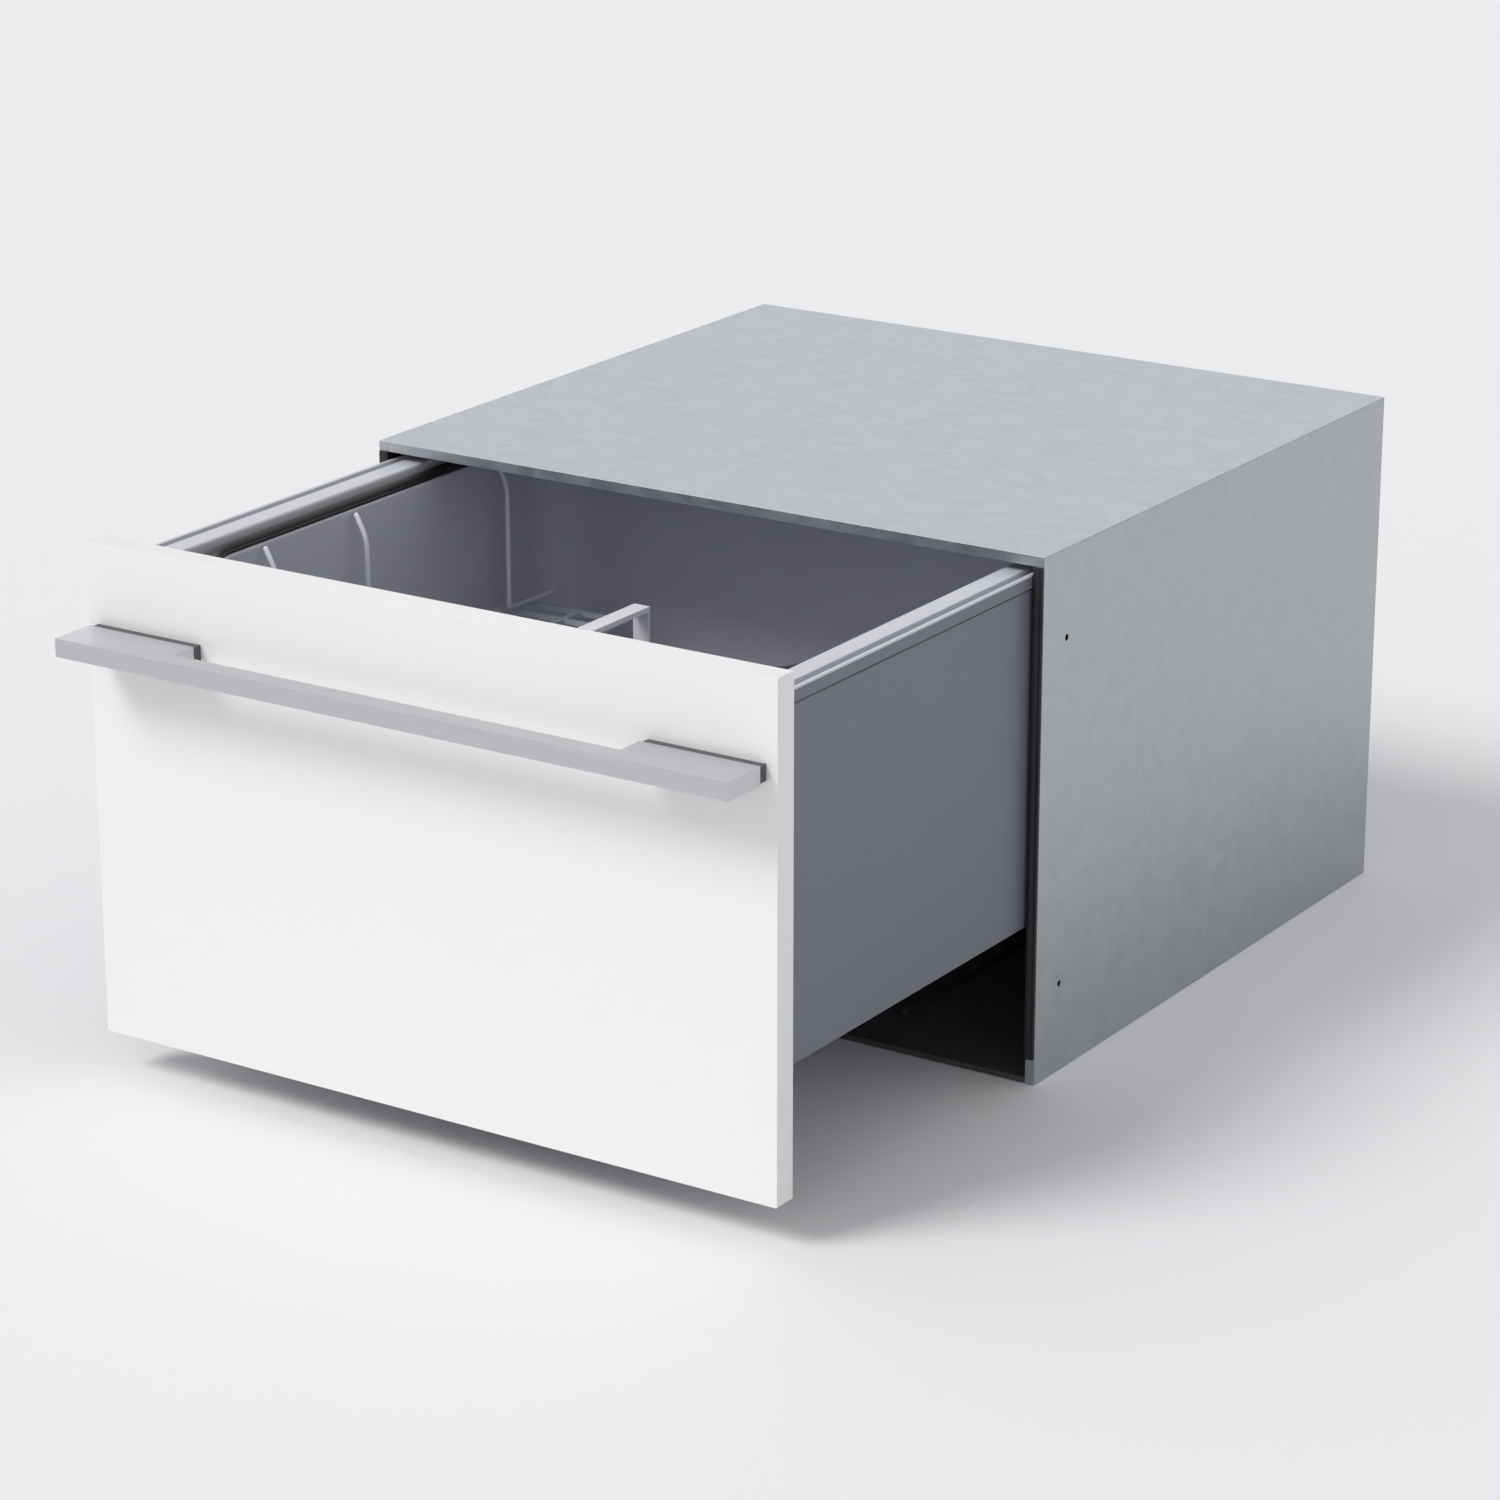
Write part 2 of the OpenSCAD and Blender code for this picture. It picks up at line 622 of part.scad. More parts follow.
module control_strip() color("#3c3d41") out() difference() {
    block([-cap_in + 0.5, panel_back, strip_z], [cap_in - 0.5, frame_back, cap_top]);
    for (x = button_x) rod_z(x, button_y, strip_z - through, cap_top + through, button_r + air);
}

// A push button: a cap in the strip and a stem down to the switch board
module push_button(x) color("#d9dade") out() {
    rod_z(x, button_y, strip_z + button_travel + air, cap_top + 1, button_r);
    rod_z(x, button_y, strip_z - frame_wall - 4, strip_z + button_travel + 1, button_r - 2);
}

// The main controller, low in the front frame, and the switch board under the buttons
module control_boards() color("#4a4b50") out() {
    foot = frame_foot + frame_wall;
    switch_top = strip_z - frame_wall - 5 - button_travel;
    block([-board_half, panel_back + frame_wall, foot], [board_half, frame_back - 4, foot + board_h]);
    block([-switch_half, panel_back + frame_wall, switch_top - 4], [switch_half, button_y + 9, switch_top]);
}

// The tub's inside or outside: grow is 0 for the inner surface and the wall's thickness for the outer one
module tub_upper(grow, z0, z1) round_prism(-mouth_half - grow, tub_front - grow, mouth_half + grow,
    tub_back + grow, corner_r + grow, z0, z1);
module tub_lower(grow, z0, z1) round_prism(-low_half - grow, tub_front + ledge_w - grow, low_half + grow,
    tub_back - ledge_w + grow, corner_r + grow, z0, z1);

module tub() color("#8d8d97") out() difference() {
    union() {
        block([-skin_in, flange_front, flange_top - tub_wall], [skin_in, flange_back, flange_top]);
        tub_upper(tub_wall, shelf_z, flange_top);
        tub_lower(tub_wall, floor_z - tub_wall, shelf_z + bite);
        rod_z(0, tub_mid, sump_z - tub_wall, floor_z, sump_r + tub_wall);
    }
    tub_upper(0, ledge_z, flange_top + through);
    tub_lower(0, floor_z, ledge_z + bite);
    rod_z(0, tub_mid, plate_z, floor_z + bite, sump_r);
    rod_z(0, tub_mid, sump_z, plate_z + bite, sump_r - 4);
    rod_z(0, tub_mid, sump_z - tub_wall - through, sump_z + through, shaft_r + run);
    block([dispenser_x - dispenser_w / 2, tub_front - tub_wall - through, dispenser_z - dispenser_h / 2],
        [dispenser_x + dispenser_w / 2, tub_front + through, dispenser_z + dispenser_h / 2]);
}

// Light trim along each side of the rim, with a groove near its outer edge
module rim_cap(s) color("#c9cad0") out() side(s) along_y(panel_back, drawer_back) polygon([
    [cap_in, flange_top], [drawer_half, flange_top],
    [drawer_half, cap_top - 0.6], [drawer_half - 0.6, cap_top], [drawer_half - 3.5, cap_top],
    [drawer_half - 3.5, cap_top - 2.5], [drawer_half - 10, cap_top - 2.5],
    [drawer_half - 10, cap_top], [cap_in + 2, cap_top], [cap_in, cap_top - 2]
]);

module lid_gasket() color("#141416") out() difference() {
    round_prism(-cap_in + 0.8, flange_front + 0.5, cap_in - 0.8, flange_back, corner_r + gasket_w,
        flange_top, gasket_top);
    round_prism(-mouth_half - 1, tub_front - 1, mouth_half + 1, tub_back + 1, corner_r + 1,
        flange_top - through, gasket_top + through);
}

module side_panel(s) color("#74767e") out() side(s)
    block([skin_in, panel_back, shelf_z], [skin_out, drawer_back, flange_top]);

// The rear panel is cut narrower beside the slides
module rear_panel() color("#5d5f66") out() {
    cut_z = slide_z + slide_h / 2 + 4;
    block([-skin_in, flange_back, cut_z], [skin_in, drawer_back, flange_top]);
    block([-rail_x, flange_back, shelf_z], [rail_x, drawer_back, cut_z + bite]);
}

// Angle rails under the tub's shoulder: their upright flanges carry the slides
module tub_rails() color("#3d3e42") out() for (s = [-1, 1]) side(s) {
    block([low_half + tub_wall + air, frame_back, shelf_z - rail_t], [rail_x, flange_back, shelf_z]);
    block([rail_x - rail_t, frame_back, shelf_z - rail_t], [rail_x, flange_back, slide_z + slide_h / 2]);
}

// ---------- wash system ----------

module wash_motor() color("#9b9ca0") out() difference() {
    union() {
        rod_z(0, tub_mid, motor_top - motor_h, motor_top, motor_r);
        for (a = [45 : 90 : 315]) rotate_at(a) block([0, -8, motor_top - 4], [motor_r + 14, 8, motor_top]);
    }
    rod_z(0, tub_mid, motor_top - 20, motor_top + through, shaft_r + run);
}

// Turns its children about the sump's middle
module rotate_at(a) { translate([0, tub_mid, 0]) rotate([0, 0, a]) children(); }

module pump_impeller() color("#3f4044") out() {
    rod_z(0, tub_mid, motor_top - 18, plate_z - 8, shaft_r);
    rod_z(0, tub_mid, sump_z + 4, sump_z + 7, impeller_r);
    for (i = [0 : 5]) rotate_at(60 * i)
        block([shaft_r - 1, -1.2, sump_z + 6], [impeller_r - 2, 1.2, sump_z + 16]);
}

// A ring on three feet over the sump's floor
module heating_element() color("#8c8e92") out() translate([0, tub_mid, sump_z]) {
    translate([0, 0, heater_foot_h + heater_r])
        rotate_extrude() translate([heater_ring_r, 0]) circle(r = heater_r);
    for (a = [90, 210, 330]) rotate([0, 0, a])
        translate([heater_ring_r, 0, 0]) cylinder(h = heater_foot_h + heater_r, r = heater_r / 2);
}

module filter_plate() color("#6b6d73") out() difference() {
    union() {
        rod_z(0, tub_mid, plate_z, plate_z + plate_t, sump_r - air);
        rod_z(0, tub_mid, plate_z, boss_top, pivot_r + 6);
        rod_z(0, tub_mid, plate_z, pivot_top, pivot_r);
    }
    rod_z(filter_x, tub_mid, plate_z - through, plate_z + plate_t + through, drain_filter_r + air);
    for (ring = [[34, 16], [50, 22], [66, 28], [82, 34], [98, 40]])
        for (i = [0 : ring[1] - 1])
            let (a = 360 * i / ring[1], x = ring[0] * cos(a), y = ring[0] * sin(a))
                if (norm([x - filter_x, y]) > drain_filter_r + 6)
                    rod_z(x, tub_mid + y, plate_z - through, plate_z + plate_t + through, 2);
}

module drain_filter() color("#8f949b") out() {
    top = plate_z + plate_t;
    difference() {
        rod_z(filter_x, tub_mid, sump_z + 2, top + 1.5, drain_filter_r);
        rod_z(filter_x, tub_mid, sump_z + 4, top - 2, drain_filter_r - 2);
        for (i = [0 : 11]) translate([filter_x, tub_mid, 0]) rotate([0, 0, 30 * i])
            block([drain_filter_r - 4, -2, sump_z + 6], [drain_filter_r + 1, 2, top - 6]);
    }
    block([filter_x - 2, tub_mid - drain_filter_r + 4, top - bite],
        [filter_x + 2, tub_mid + drain_filter_r - 4, top + 6]);
}

// Outline of one half of the spray arm: broad at the hub, swelling again before its round tip
function arm_half_width(t) = 15 + 9 * sin(180 * pow(t, 0.8));
module spray_arm() color("#9ea0a6") out() translate([0, tub_mid, 0]) rotate([0, 0, 28]) difference() {
    z0 = boss_top + 2;
    union() {
        for (s = [0, 180]) rotate([0, 0, s]) translate([0, 0, z0]) linear_extrude(arm_t) polygon(concat(
            [for (i = [0 : 12]) [(arm_r - 12) * i / 12, arm_half_width(i / 12)]],
            [for (a = [75 : -15 : -75]) [arm_r - 12 + 12 * cos(a), 15 * sin(a)]],
            [for (i = [12 : -1 : 0]) [(arm_r - 12) * i / 12, -arm_half_width(i / 12)]]
        ));
        translate([0, 0, boss_top + air]) cylinder(h = pivot_top - boss_top + 3, r = pivot_r + 9);
    }
    translate([0, 0, boss_top]) cylinder(h = pivot_top - boss_top + air, r = pivot_r + run);
    for (s = [0, 180]) rotate([0, 0, s]) for (i = [1 : 5])
        translate([arm_r * i / 6 + 8, i % 2 ? 7 : -7, z0 + arm_t - 3]) cylinder(h = 4, r = 1.6);
}

// ---------- basket ----------

module rack_floor() color("#d5d6dc") out() {
    difference() {
        round_prism(-rack_half - wire_r, rack_front - wire_r, rack_half + wire_r, rack_back + wire_r,
            rack_corner_r, rack_z - wire_r, rack_z + wire_r);
        round_prism(-rack_half + wire_r, rack_front + wire_r, rack_half - wire_r, rack_back - wire_r,
            rack_corner_r - 2 * wire_r, rack_z - wire_r - through, rack_z + wire_r + through);
    }
    for (i = [-wires_x : wires_x])
        rod_y(i * wire_pitch, floor_wire_z, rack_front, rack_back, wire_r, $fn = flats);
    for (i = [-wires_y : wires_y])
        rod_x(-rack_half, rack_half, tub_mid + i * wire_pitch, floor_wire_z, wire_r, $fn = flats);
}

// A row of tines stands over the floor wire nearest to the place aimed at
function tine_x(row) = min(round(row[0] / wire_pitch), wires_x) * wire_pitch;
function tine_last(row) = floor(row[2] / tine_pitch);
function tine_ends(row) = [tub_front + row[1] - 14, tub_front + row[1] + tine_last(row) * tine_pitch + 8];

module tine_row(row) color("#c8c9d0") out() {
    rod_y(tine_x(row), tine_z, tine_ends(row)[0], tine_ends(row)[1] + saddle_w, tine_rod_r);
    for (i = [0 : tine_last(row)]) translate([tine_x(row), tub_front + row[1] + i * tine_pitch, tine_z])
        rotate([0, tine_lean, 0]) cylinder(h = tine_h, r = wire_r, $fn = flats);
}

// One upright side wire: straight up, then leaning out towards the tub's rim
module post(y) {
    lean = [mouth_half - 2 - wire_r - post_x, flange_top - 2 - post_bend_z];
    rod_z(post_x, y, rack_z + wire_r, post_bend_z + 0.5, wire_r, $fn = flats);
    translate([post_x, y, post_bend_z]) rotate([0, atan2(lean[0], lean[1]), 0]) translate([0, 0, -wire_r])
        cylinder(h = norm(lean) + wire_r, r = wire_r, $fn = flats);
}

module rack_sides() color("#d5d6dc") out() {
    for (s = [-1, 1]) side(s) {
        for (y = post_y) post(y);
        rod_y(hinge_x, cup_hinge_z, tub_front + 14, tub_back - 30, wire_r);
        rod_y(post_x - wire_r, cup_hinge_z - 70, tub_front + 30, tub_back - 30, wire_r, $fn = flats);
    }
    for (y = [rack_front + 4, rack_back - 4]) {
        for (i = [-2 : 2])
            rod_z(i * 2 * wire_pitch, y, floor_top, floor_top + end_wire_h, wire_r, $fn = flats);
        reach = 4 * wire_pitch + 20;
        rod_x(-reach, reach, y + 1, floor_top + end_wire_h - 2, wire_r, $fn = flats);
    }
    // saddles on the floor wires, which hold the ends of each folding tine row
    for (row = tine_rows) for (y = tine_ends(row)) difference() {
        block([tine_x(row) - saddle_half, y, floor_top],
            [tine_x(row) + saddle_half, y + saddle_w, tine_z + tine_rod_r + 2]);
        rod_y(tine_x(row), tine_z, y - through, y + saddle_w + through, tine_rod_r + run);
    }
}

// A folding cup rack: a barred shelf with two clips round the hinge wire
module cup_rack(s, y0) color("#b9bbc3") out() side(s) {
    x1 = hinge_x - wire_r - 3;
    x0 = hinge_x - cup_rack_w;
    z1 = cup_hinge_z - air;
    bars = 7;
    gap = (cup_rack_l - 6) / bars;
    difference() {
        block([x0, y0, z1 - cup_rack_t], [x1, y0 + cup_rack_l, z1]);
        for (i = [0 : bars - 1]) for (half = [0, 1])
            block([x0 + 5 + half * (x1 - x0 - 5) / 2, y0 + 5 + i * gap, z1 - cup_rack_t - through],
                [x0 + (half + 1) * (x1 - x0 - 5) / 2, y0 + 1 + (i + 1) * gap, z1 + through]);
    }
    for (c = clip_y) difference() {
        union() {
            rod_y(hinge_x, cup_hinge_z, y0 + c, y0 + c + clip_l, wire_r + 2.5);
            block([x1 - bite, y0 + c, z1 - cup_rack_t], [hinge_x, y0 + c + clip_l, z1]);
        }
        rod_y(hinge_x, cup_hinge_z, y0 + c - through, y0 + c + clip_l + through, wire_r + run);
    }
}

// Open-topped cutlery basket of five slotted plates, whose fingers lie in notches of the long sides.
// Two partitions slide into it, and its handle clips in.
module cutlery_basket() color("#e4e5e8") out() {
    x0 = cutlery_x;
    x1 = cutlery_x + cutlery_w;
    y0 = cutlery_y;
    y1 = cutlery_y + cutlery_l;
    z0 = floor_top;
    z1 = z0 + cutlery_h;
    wall = 2;
    slots = 12;
    end_slots = 5;
    bar = 6;
    step = (cutlery_l - 8) / slots;
    end_step = (cutlery_w - 20) / end_slots;
    finger = 18;
    finger_z = [z0 + 20, z1 - 40];
    finger_y = [y0 + cutlery_l / 4 - finger / 2, y1 - cutlery_l / 4 - finger / 2];
    // long sides
    for (x = [x0, x1 - wall]) difference() {
        block([x, y0, z0], [x + wall, y1, z1]);
        for (z = [z0 + 4, z0 + 74]) for (i = [0 : slots - 1])
            block([x - through, y0 + 4 + bar / 2 + i * step, z],
                [x + wall + through, y0 + 4 - bar / 2 + (i + 1) * step, z + 60]);
        for (z = finger_z) for (s = [[y0 - through, y0 + wall + run], [y1 - wall - run, y1 + through]])
            block([x - through, s[0], z - run], [x + wall + through, s[1], z + finger + run]);
        for (y = finger_y)
            block([x - through, y - run, z0 - through],
                [x + wall + through, y + finger + run, z0 + wall + run]);
    }
    // ends
    for (y = [y0, y1 - wall]) difference() {
        union() {
            block([x0 + wall + run, y, z0], [x1 - wall - run, y + wall, z1]);
            for (z = finger_z) block([x0, y, z], [x1, y + wall, z + finger]);
        }
        for (z = [z0 + 4, z0 + 74]) for (i = [0 : end_slots - 1])
            block([x0 + 10 + bar / 3 + i * end_step, y - through, z],
                [x0 + 10 - bar / 3 + (i + 1) * end_step, y + wall + through, z + 60]);
    }
    // floor
    difference() {
        union() {
            block([x0 + wall + run, y0 + wall + run, z0], [x1 - wall - run, y1 - wall - run, z0 + wall]);
            for (y = finger_y) block([x0, y, z0], [x1, y + finger, z0 + wall]);
        }
        for (i = [0 : slots - 1]) for (x = [x0 + 10, x0 + cutlery_w / 2 + 4])
            block([x, y0 + 5 + bar / 2 + i * step, z0 - through],
                [x + cutlery_w / 2 - 14, y0 + 3 - bar / 2 + (i + 1) * step, z0 + wall + through]);
    }
    for (y = [y0 + cutlery_l / 3, y0 + 2 * cutlery_l / 3])
        block([x0 + wall + run, y - 1, z0 + wall + run], [x1 - wall - run, y + 1, z1 - 20]);
    // arched handle over the long middle line
    xm = (x0 + x1) / 2;
    leg = 1.9;
    block([xm - 7, y0 + wall + run, z1 - 40], [xm + 7, y0 + wall + run + leg, z1 + 64]);
    block([xm - 7, y1 - wall - run - leg, z1 - 40], [xm + 7, y1 - wall - run, z1 + 64]);
    block([xm - 7, y0 + wall + run, z1 + 60], [xm + 7, y1 - wall - run, z1 + 64]);
}

// ---------- dispenser ----------

module dispenser_body() color("#a9abb3") out() difference() {
    union() {
        block([dispenser_x - dispenser_w / 2 + air, dispenser_face - dispenser_d,
                dispenser_z - dispenser_h / 2 + air],
            [dispenser_x + dispenser_w / 2 - air, dispenser_face, dispenser_z + dispenser_h / 2 - air]);
        block([dispenser_x - dispenser_w / 2 - 5, tub_front, dispenser_z - dispenser_h / 2 - 5],
            [dispenser_x + dispenser_w / 2 + 5, tub_front + 2, dispenser_z + dispenser_h / 2 + 5]);
        // knuckles of the flap's hinge
        for (z = flap_knuckle_z) {
            rod_z(flap_hinge_x, flap_hinge_y, z, z + knuckle_h, knuckle_r);
            block([flap_hinge_x - knuckle_r, dispenser_face - bite, z],
                [flap_hinge_x + knuckle_r, flap_hinge_y, z + knuckle_h]);
        }
    }
    block([cup_x - cup_open_w / 2 + 2, dispenser_face - dispenser_d + cup_wall,
            dispenser_z - dispenser_h / 2 + 8],
        [cup_x + cup_open_w / 2 - 2, dispenser_face + through, dispenser_z + dispenser_h / 2 - 8]);
    rod_y(rinse_x, dispenser_z, dispenser_face - 6, dispenser_face + through, rinse_r + air);
    rod_y(rinse_x, dispenser_z, dispenser_face - dispenser_d + cup_wall, dispenser_face, rinse_r - 3);
    rod_z(flap_hinge_x, flap_hinge_y, dispenser_z - dispenser_h / 2, dispenser_z + dispenser_h / 2, 1 + run);
}

// Flap over the detergent cup, on an upright pin at its left edge
module dispenser_flap() color("#e1e2e6") out() {
    z0 = dispenser_z - dispenser_h / 2 + 5;
    z1 = dispenser_z + dispenser_h / 2 - 5;
    z2 = flap_knuckle_z[0] + knuckle_h + air;
    z3 = flap_knuckle_z[1] - air;
    block([flap_hinge_x + 2.5, dispenser_face + air, z0],
        [cup_x + cup_open_w / 2 + 1, dispenser_face + air + flap_t, z1]);
    rod_z(flap_hinge_x, flap_hinge_y, z2, z3, knuckle_r);
    block([flap_hinge_x, flap_hinge_y - 1, z2], [flap_hinge_x + 3.5, flap_hinge_y, z3]);
    rod_z(flap_hinge_x, flap_hinge_y, flap_knuckle_z[0] + 1, flap_knuckle_z[1] + 7, 1);
}

module rinse_cap() color("#c4c6cc") out() {
    rod_y(rinse_x, dispenser_z, dispenser_face - 6 + air, dispenser_face + 2, rinse_r);
    block([rinse_x - 2, dispenser_face + 1, dispenser_z - rinse_r + 4],
        [rinse_x + 2, dispenser_face + 7, dispenser_z + rinse_r - 4]);
}

// ---------- the pieces by name ----------

side_sheet(-1);  // side_sheet_left
side_sheet(1);  // side_sheet_right
top_sheet();
back_sheet();
base_tray();
side_liner(-1);  // side_liner_left
side_liner(1);  // side_liner_right
edge_seals();
outer_slides();
lid_actuators();
water_inlet();
drain_outlet();
power_gland();
slide_middle(-1);  // slide_middle_left
slide_middle(1);  // slide_middle_right
ball_cages(-1);  // ball_cages_left
ball_cages(1);  // ball_cages_right
lid_plate();
lid_straps();
door_panel();
panel_brackets();
handle();
handle_pads();
panel_screws();
front_frame();
control_strip();
control_boards();
tub();
rim_cap(-1);  // rim_cap_left
rim_cap(1);  // rim_cap_right
lid_gasket();
side_panel(-1);  // side_panel_left
side_panel(1);  // side_panel_right
rear_panel();
tub_rails();
inner_slides();
wash_motor();
heating_element();
filter_plate();
rack_floor();
rack_sides();
cutlery_basket();
dispenser_body();
spray_arm();
drain_filter();
pump_impeller();
dispenser_flap();
rinse_cap();
cup_rack(-1, cup_y[0]);  // cup_rack_front_left
cup_rack(-1, cup_y[1]);  // cup_rack_rear_left
cup_rack(1, cup_y[0]);  // cup_rack_front_right
cup_rack(1, cup_y[1]);  // cup_rack_rear_right
tine_row(tine_rows[0]);  // tine_row_left
tine_row(tine_rows[1]);  // tine_row_middle
tine_row(tine_rows[2]);  // tine_row_right
tine_row(tine_rows[3]);  // tine_row_outer
push_button(button_x[0]);  // button_power
push_button(button_x[1]);  // button_program
push_button(button_x[2]);  // button_start
push_button(button_x[3]);  // button_lock
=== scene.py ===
# %% [markdown]
# # A dishwasher drawer, dressed for the camera
#
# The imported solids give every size, so this file only adds what a solid lacks: rounded edges, bent wire,
# moulded walls and finishes. Each step first says what the real piece is and why it is made this way.

# %% Load the frame
import json
import math

import bmesh
import bpy
import numpy as np
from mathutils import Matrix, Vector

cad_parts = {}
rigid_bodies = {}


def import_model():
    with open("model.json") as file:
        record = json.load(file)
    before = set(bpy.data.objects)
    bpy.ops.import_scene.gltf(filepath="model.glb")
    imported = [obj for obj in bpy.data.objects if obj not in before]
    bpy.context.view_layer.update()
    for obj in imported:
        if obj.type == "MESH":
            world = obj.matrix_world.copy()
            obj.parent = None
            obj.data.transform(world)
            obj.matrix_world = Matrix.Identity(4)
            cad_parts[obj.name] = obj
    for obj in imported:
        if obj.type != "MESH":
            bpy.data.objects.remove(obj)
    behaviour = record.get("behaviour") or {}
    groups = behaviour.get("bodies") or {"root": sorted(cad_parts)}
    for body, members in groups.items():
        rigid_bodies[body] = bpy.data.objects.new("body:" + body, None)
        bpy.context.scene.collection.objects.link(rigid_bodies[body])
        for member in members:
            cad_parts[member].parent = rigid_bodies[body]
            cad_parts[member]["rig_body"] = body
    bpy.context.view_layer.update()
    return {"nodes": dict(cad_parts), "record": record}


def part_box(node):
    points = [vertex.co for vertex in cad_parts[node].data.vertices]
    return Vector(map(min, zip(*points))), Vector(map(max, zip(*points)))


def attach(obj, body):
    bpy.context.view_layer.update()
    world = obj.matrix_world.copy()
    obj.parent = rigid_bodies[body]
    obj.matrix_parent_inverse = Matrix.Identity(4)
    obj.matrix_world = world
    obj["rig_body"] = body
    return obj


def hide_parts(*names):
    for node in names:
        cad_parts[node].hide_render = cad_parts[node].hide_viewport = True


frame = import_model()
slot_of = {part["node"]: part["material_slot"] for part in frame["record"]["subparts"]}

# %% [markdown]
# ## Camera, light and floor
#
# The photograph was taken from the right, in front and above. Its camera stands about 3.5 m away, and here
# it turns to face the appliance and uses a longer lens, so that the whole of it fills the frame.
# The studio is plain: an even white surround, and one broad lamp that stands high in front on the left. It
# lights the front most and leaves the right side in soft shade.

# %% Camera
MM = 0.001
scene = bpy.context.scene
eye = np.array([1.911, -2.856, 1.3665])
target = np.array([0.0, 0.072, 0.188])
lens_data = bpy.data.cameras.new("camera")
lens_data.lens = 114
camera = bpy.data.objects.new("camera", lens_data)
scene.collection.objects.link(camera)
camera.location = eye
gaze = target - eye
pitch = math.atan2(gaze[2], math.hypot(gaze[0], gaze[1]))
camera.rotation_euler = (math.pi / 2 + pitch, 0, math.atan2(-gaze[0], gaze[1]))
scene.camera = camera
print("camera", round(float(np.linalg.norm(gaze)), 2), "m away")


# %% Nodes and colours
def node(tree, kind, inputs=None, **settings):
    """Adds a node. settings are its properties; inputs fill its sockets: a socket links, a value is set."""
    made = tree.nodes.new(kind)
    for name, value in settings.items():
        setattr(made, name, value)
    for name, value in (inputs or {}).items():
        if isinstance(value, bpy.types.NodeSocket):
            tree.links.new(value, made.inputs[name])
        else:
            made.inputs[name].default_value = value
    return made


def linear(code):
    """An sRGB hex colour as linear red, green, blue and alpha."""
    channels = np.array([int(code[i:i + 2], 16) for i in (1, 3, 5)]) / 255
    curved = np.where(channels <= 0.04045, channels / 12.92, ((channels + 0.055) / 1.055) ** 2.4)
    return (*curved.tolist(), 1.0)


print("mid grey is", round(linear("#808080")[0], 3), "in linear light")

# %% Surround
scene.view_settings.view_transform = "Standard"
surround = bpy.data.worlds.new("surround")
scene.world = surround
surround.use_nodes = True
sky = surround.node_tree
sky.nodes.clear()
ray = node(sky, "ShaderNodeLightPath")
seen = node(sky, "ShaderNodeMath", {0: ray.outputs["Is Camera Ray"], 1: ray.outputs["Is Transmission Ray"]},
            operation="MAXIMUM")
lit = node(sky, "ShaderNodeBackground", {"Color": linear("#f6f7f9"), "Strength": 0.585})
white = node(sky, "ShaderNodeBackground", {"Color": linear("#ffffff"), "Strength": 1.0})
# what polished faces mirror: bright overhead and darker towards the horizon, as in a studio with a light tent,
# and brightest round the lamp, whose own disc would burn out on metal
lamp_from = np.array([-0.42, -0.62, 0.78])
looking = node(sky, "ShaderNodeTexCoord").outputs["Generated"]
heading = node(sky, "ShaderNodeSeparateXYZ", {0: looking})
tent = node(sky, "ShaderNodeMapRange", {"Value": heading.outputs[2], "From Min": -0.05, "From Max": 0.42,
                                        "To Min": 0.45, "To Max": 1.3}, interpolation_type="SMOOTHSTEP")
towards = node(sky, "ShaderNodeVectorMath", {0: looking, 1: (lamp_from / np.linalg.norm(lamp_from)).tolist()},
               operation="DOT_PRODUCT")
window = node(sky, "ShaderNodeMapRange", {"Value": towards.outputs["Value"], "From Min": 0.7, "From Max": 0.98,
                                          "To Min": 0.0, "To Max": 1.2}, interpolation_type="SMOOTHSTEP")
both = node(sky, "ShaderNodeMath", {0: tent.outputs[0], 1: window.outputs[0]}, operation="ADD")
mirrored = node(sky, "ShaderNodeBackground", {"Color": linear("#f5f6f7"), "Strength": both.outputs[0]})
for_metal = node(sky, "ShaderNodeMixShader",
                 {0: ray.outputs["Is Glossy Ray"], 1: lit.outputs[0], 2: mirrored.outputs[0]})
mixed = node(sky, "ShaderNodeMixShader", {0: seen.outputs[0], 1: for_metal.outputs[0], 2: white.outputs[0]})
node(sky, "ShaderNodeOutputWorld", {"Surface": mixed.outputs[0]})
print("surround has", len(sky.nodes), "nodes")

# %% Lamp
lamp_data = bpy.data.lights.new("broad_lamp", "SUN")
lamp_data.energy = 1.66
lamp_data.angle = math.radians(24)
lamp = bpy.data.objects.new("broad_lamp", lamp_data)
scene.collection.objects.link(lamp)
lamp.visible_glossy = False
lamp.rotation_euler = (math.atan2(math.hypot(lamp_from[0], lamp_from[1]), lamp_from[2]), 0,
                       math.atan2(lamp_from[0], -lamp_from[1]))
print("lamp", lamp_data.energy, "W per square metre")

# %% Floor
floor_mesh = bpy.data.meshes.new("studio_floor")
REACH = 30   # half the floor's side, in m, so that its edges lie far outside the picture
floor_mesh.from_pydata([(-REACH, -REACH, 0), (REACH, -REACH, 0), (REACH, REACH, 0), (-REACH, REACH, 0)],
                       [], [(0, 1, 2, 3)])
studio_floor = bpy.data.objects.new("studio_floor", floor_mesh)
scene.collection.objects.link(studio_floor)
studio_floor.location = (0, 0, -0.0005)
pale = bpy.data.materials.new("pale_floor")
pale.use_nodes = True
matt = pale.node_tree.nodes["Principled BSDF"]
matt.inputs["Base Color"].default_value = linear("#f3f3f4")
matt.inputs["Roughness"].default_value = 0.9
floor_mesh.materials.append(pale)
print("studio ready")

# %% [markdown]
# ## Finishes
#
# Each finish starts from the real material. A moulded plastic carries the fine grain of its tool, a coat of
# paint has the slight waviness of a film that flowed before it set, rolled steel has streaks along one
# direction, and zinc crystallises into flat spangles. All patterns read Object coordinates, and their scale
# comes from a size in millimetres.


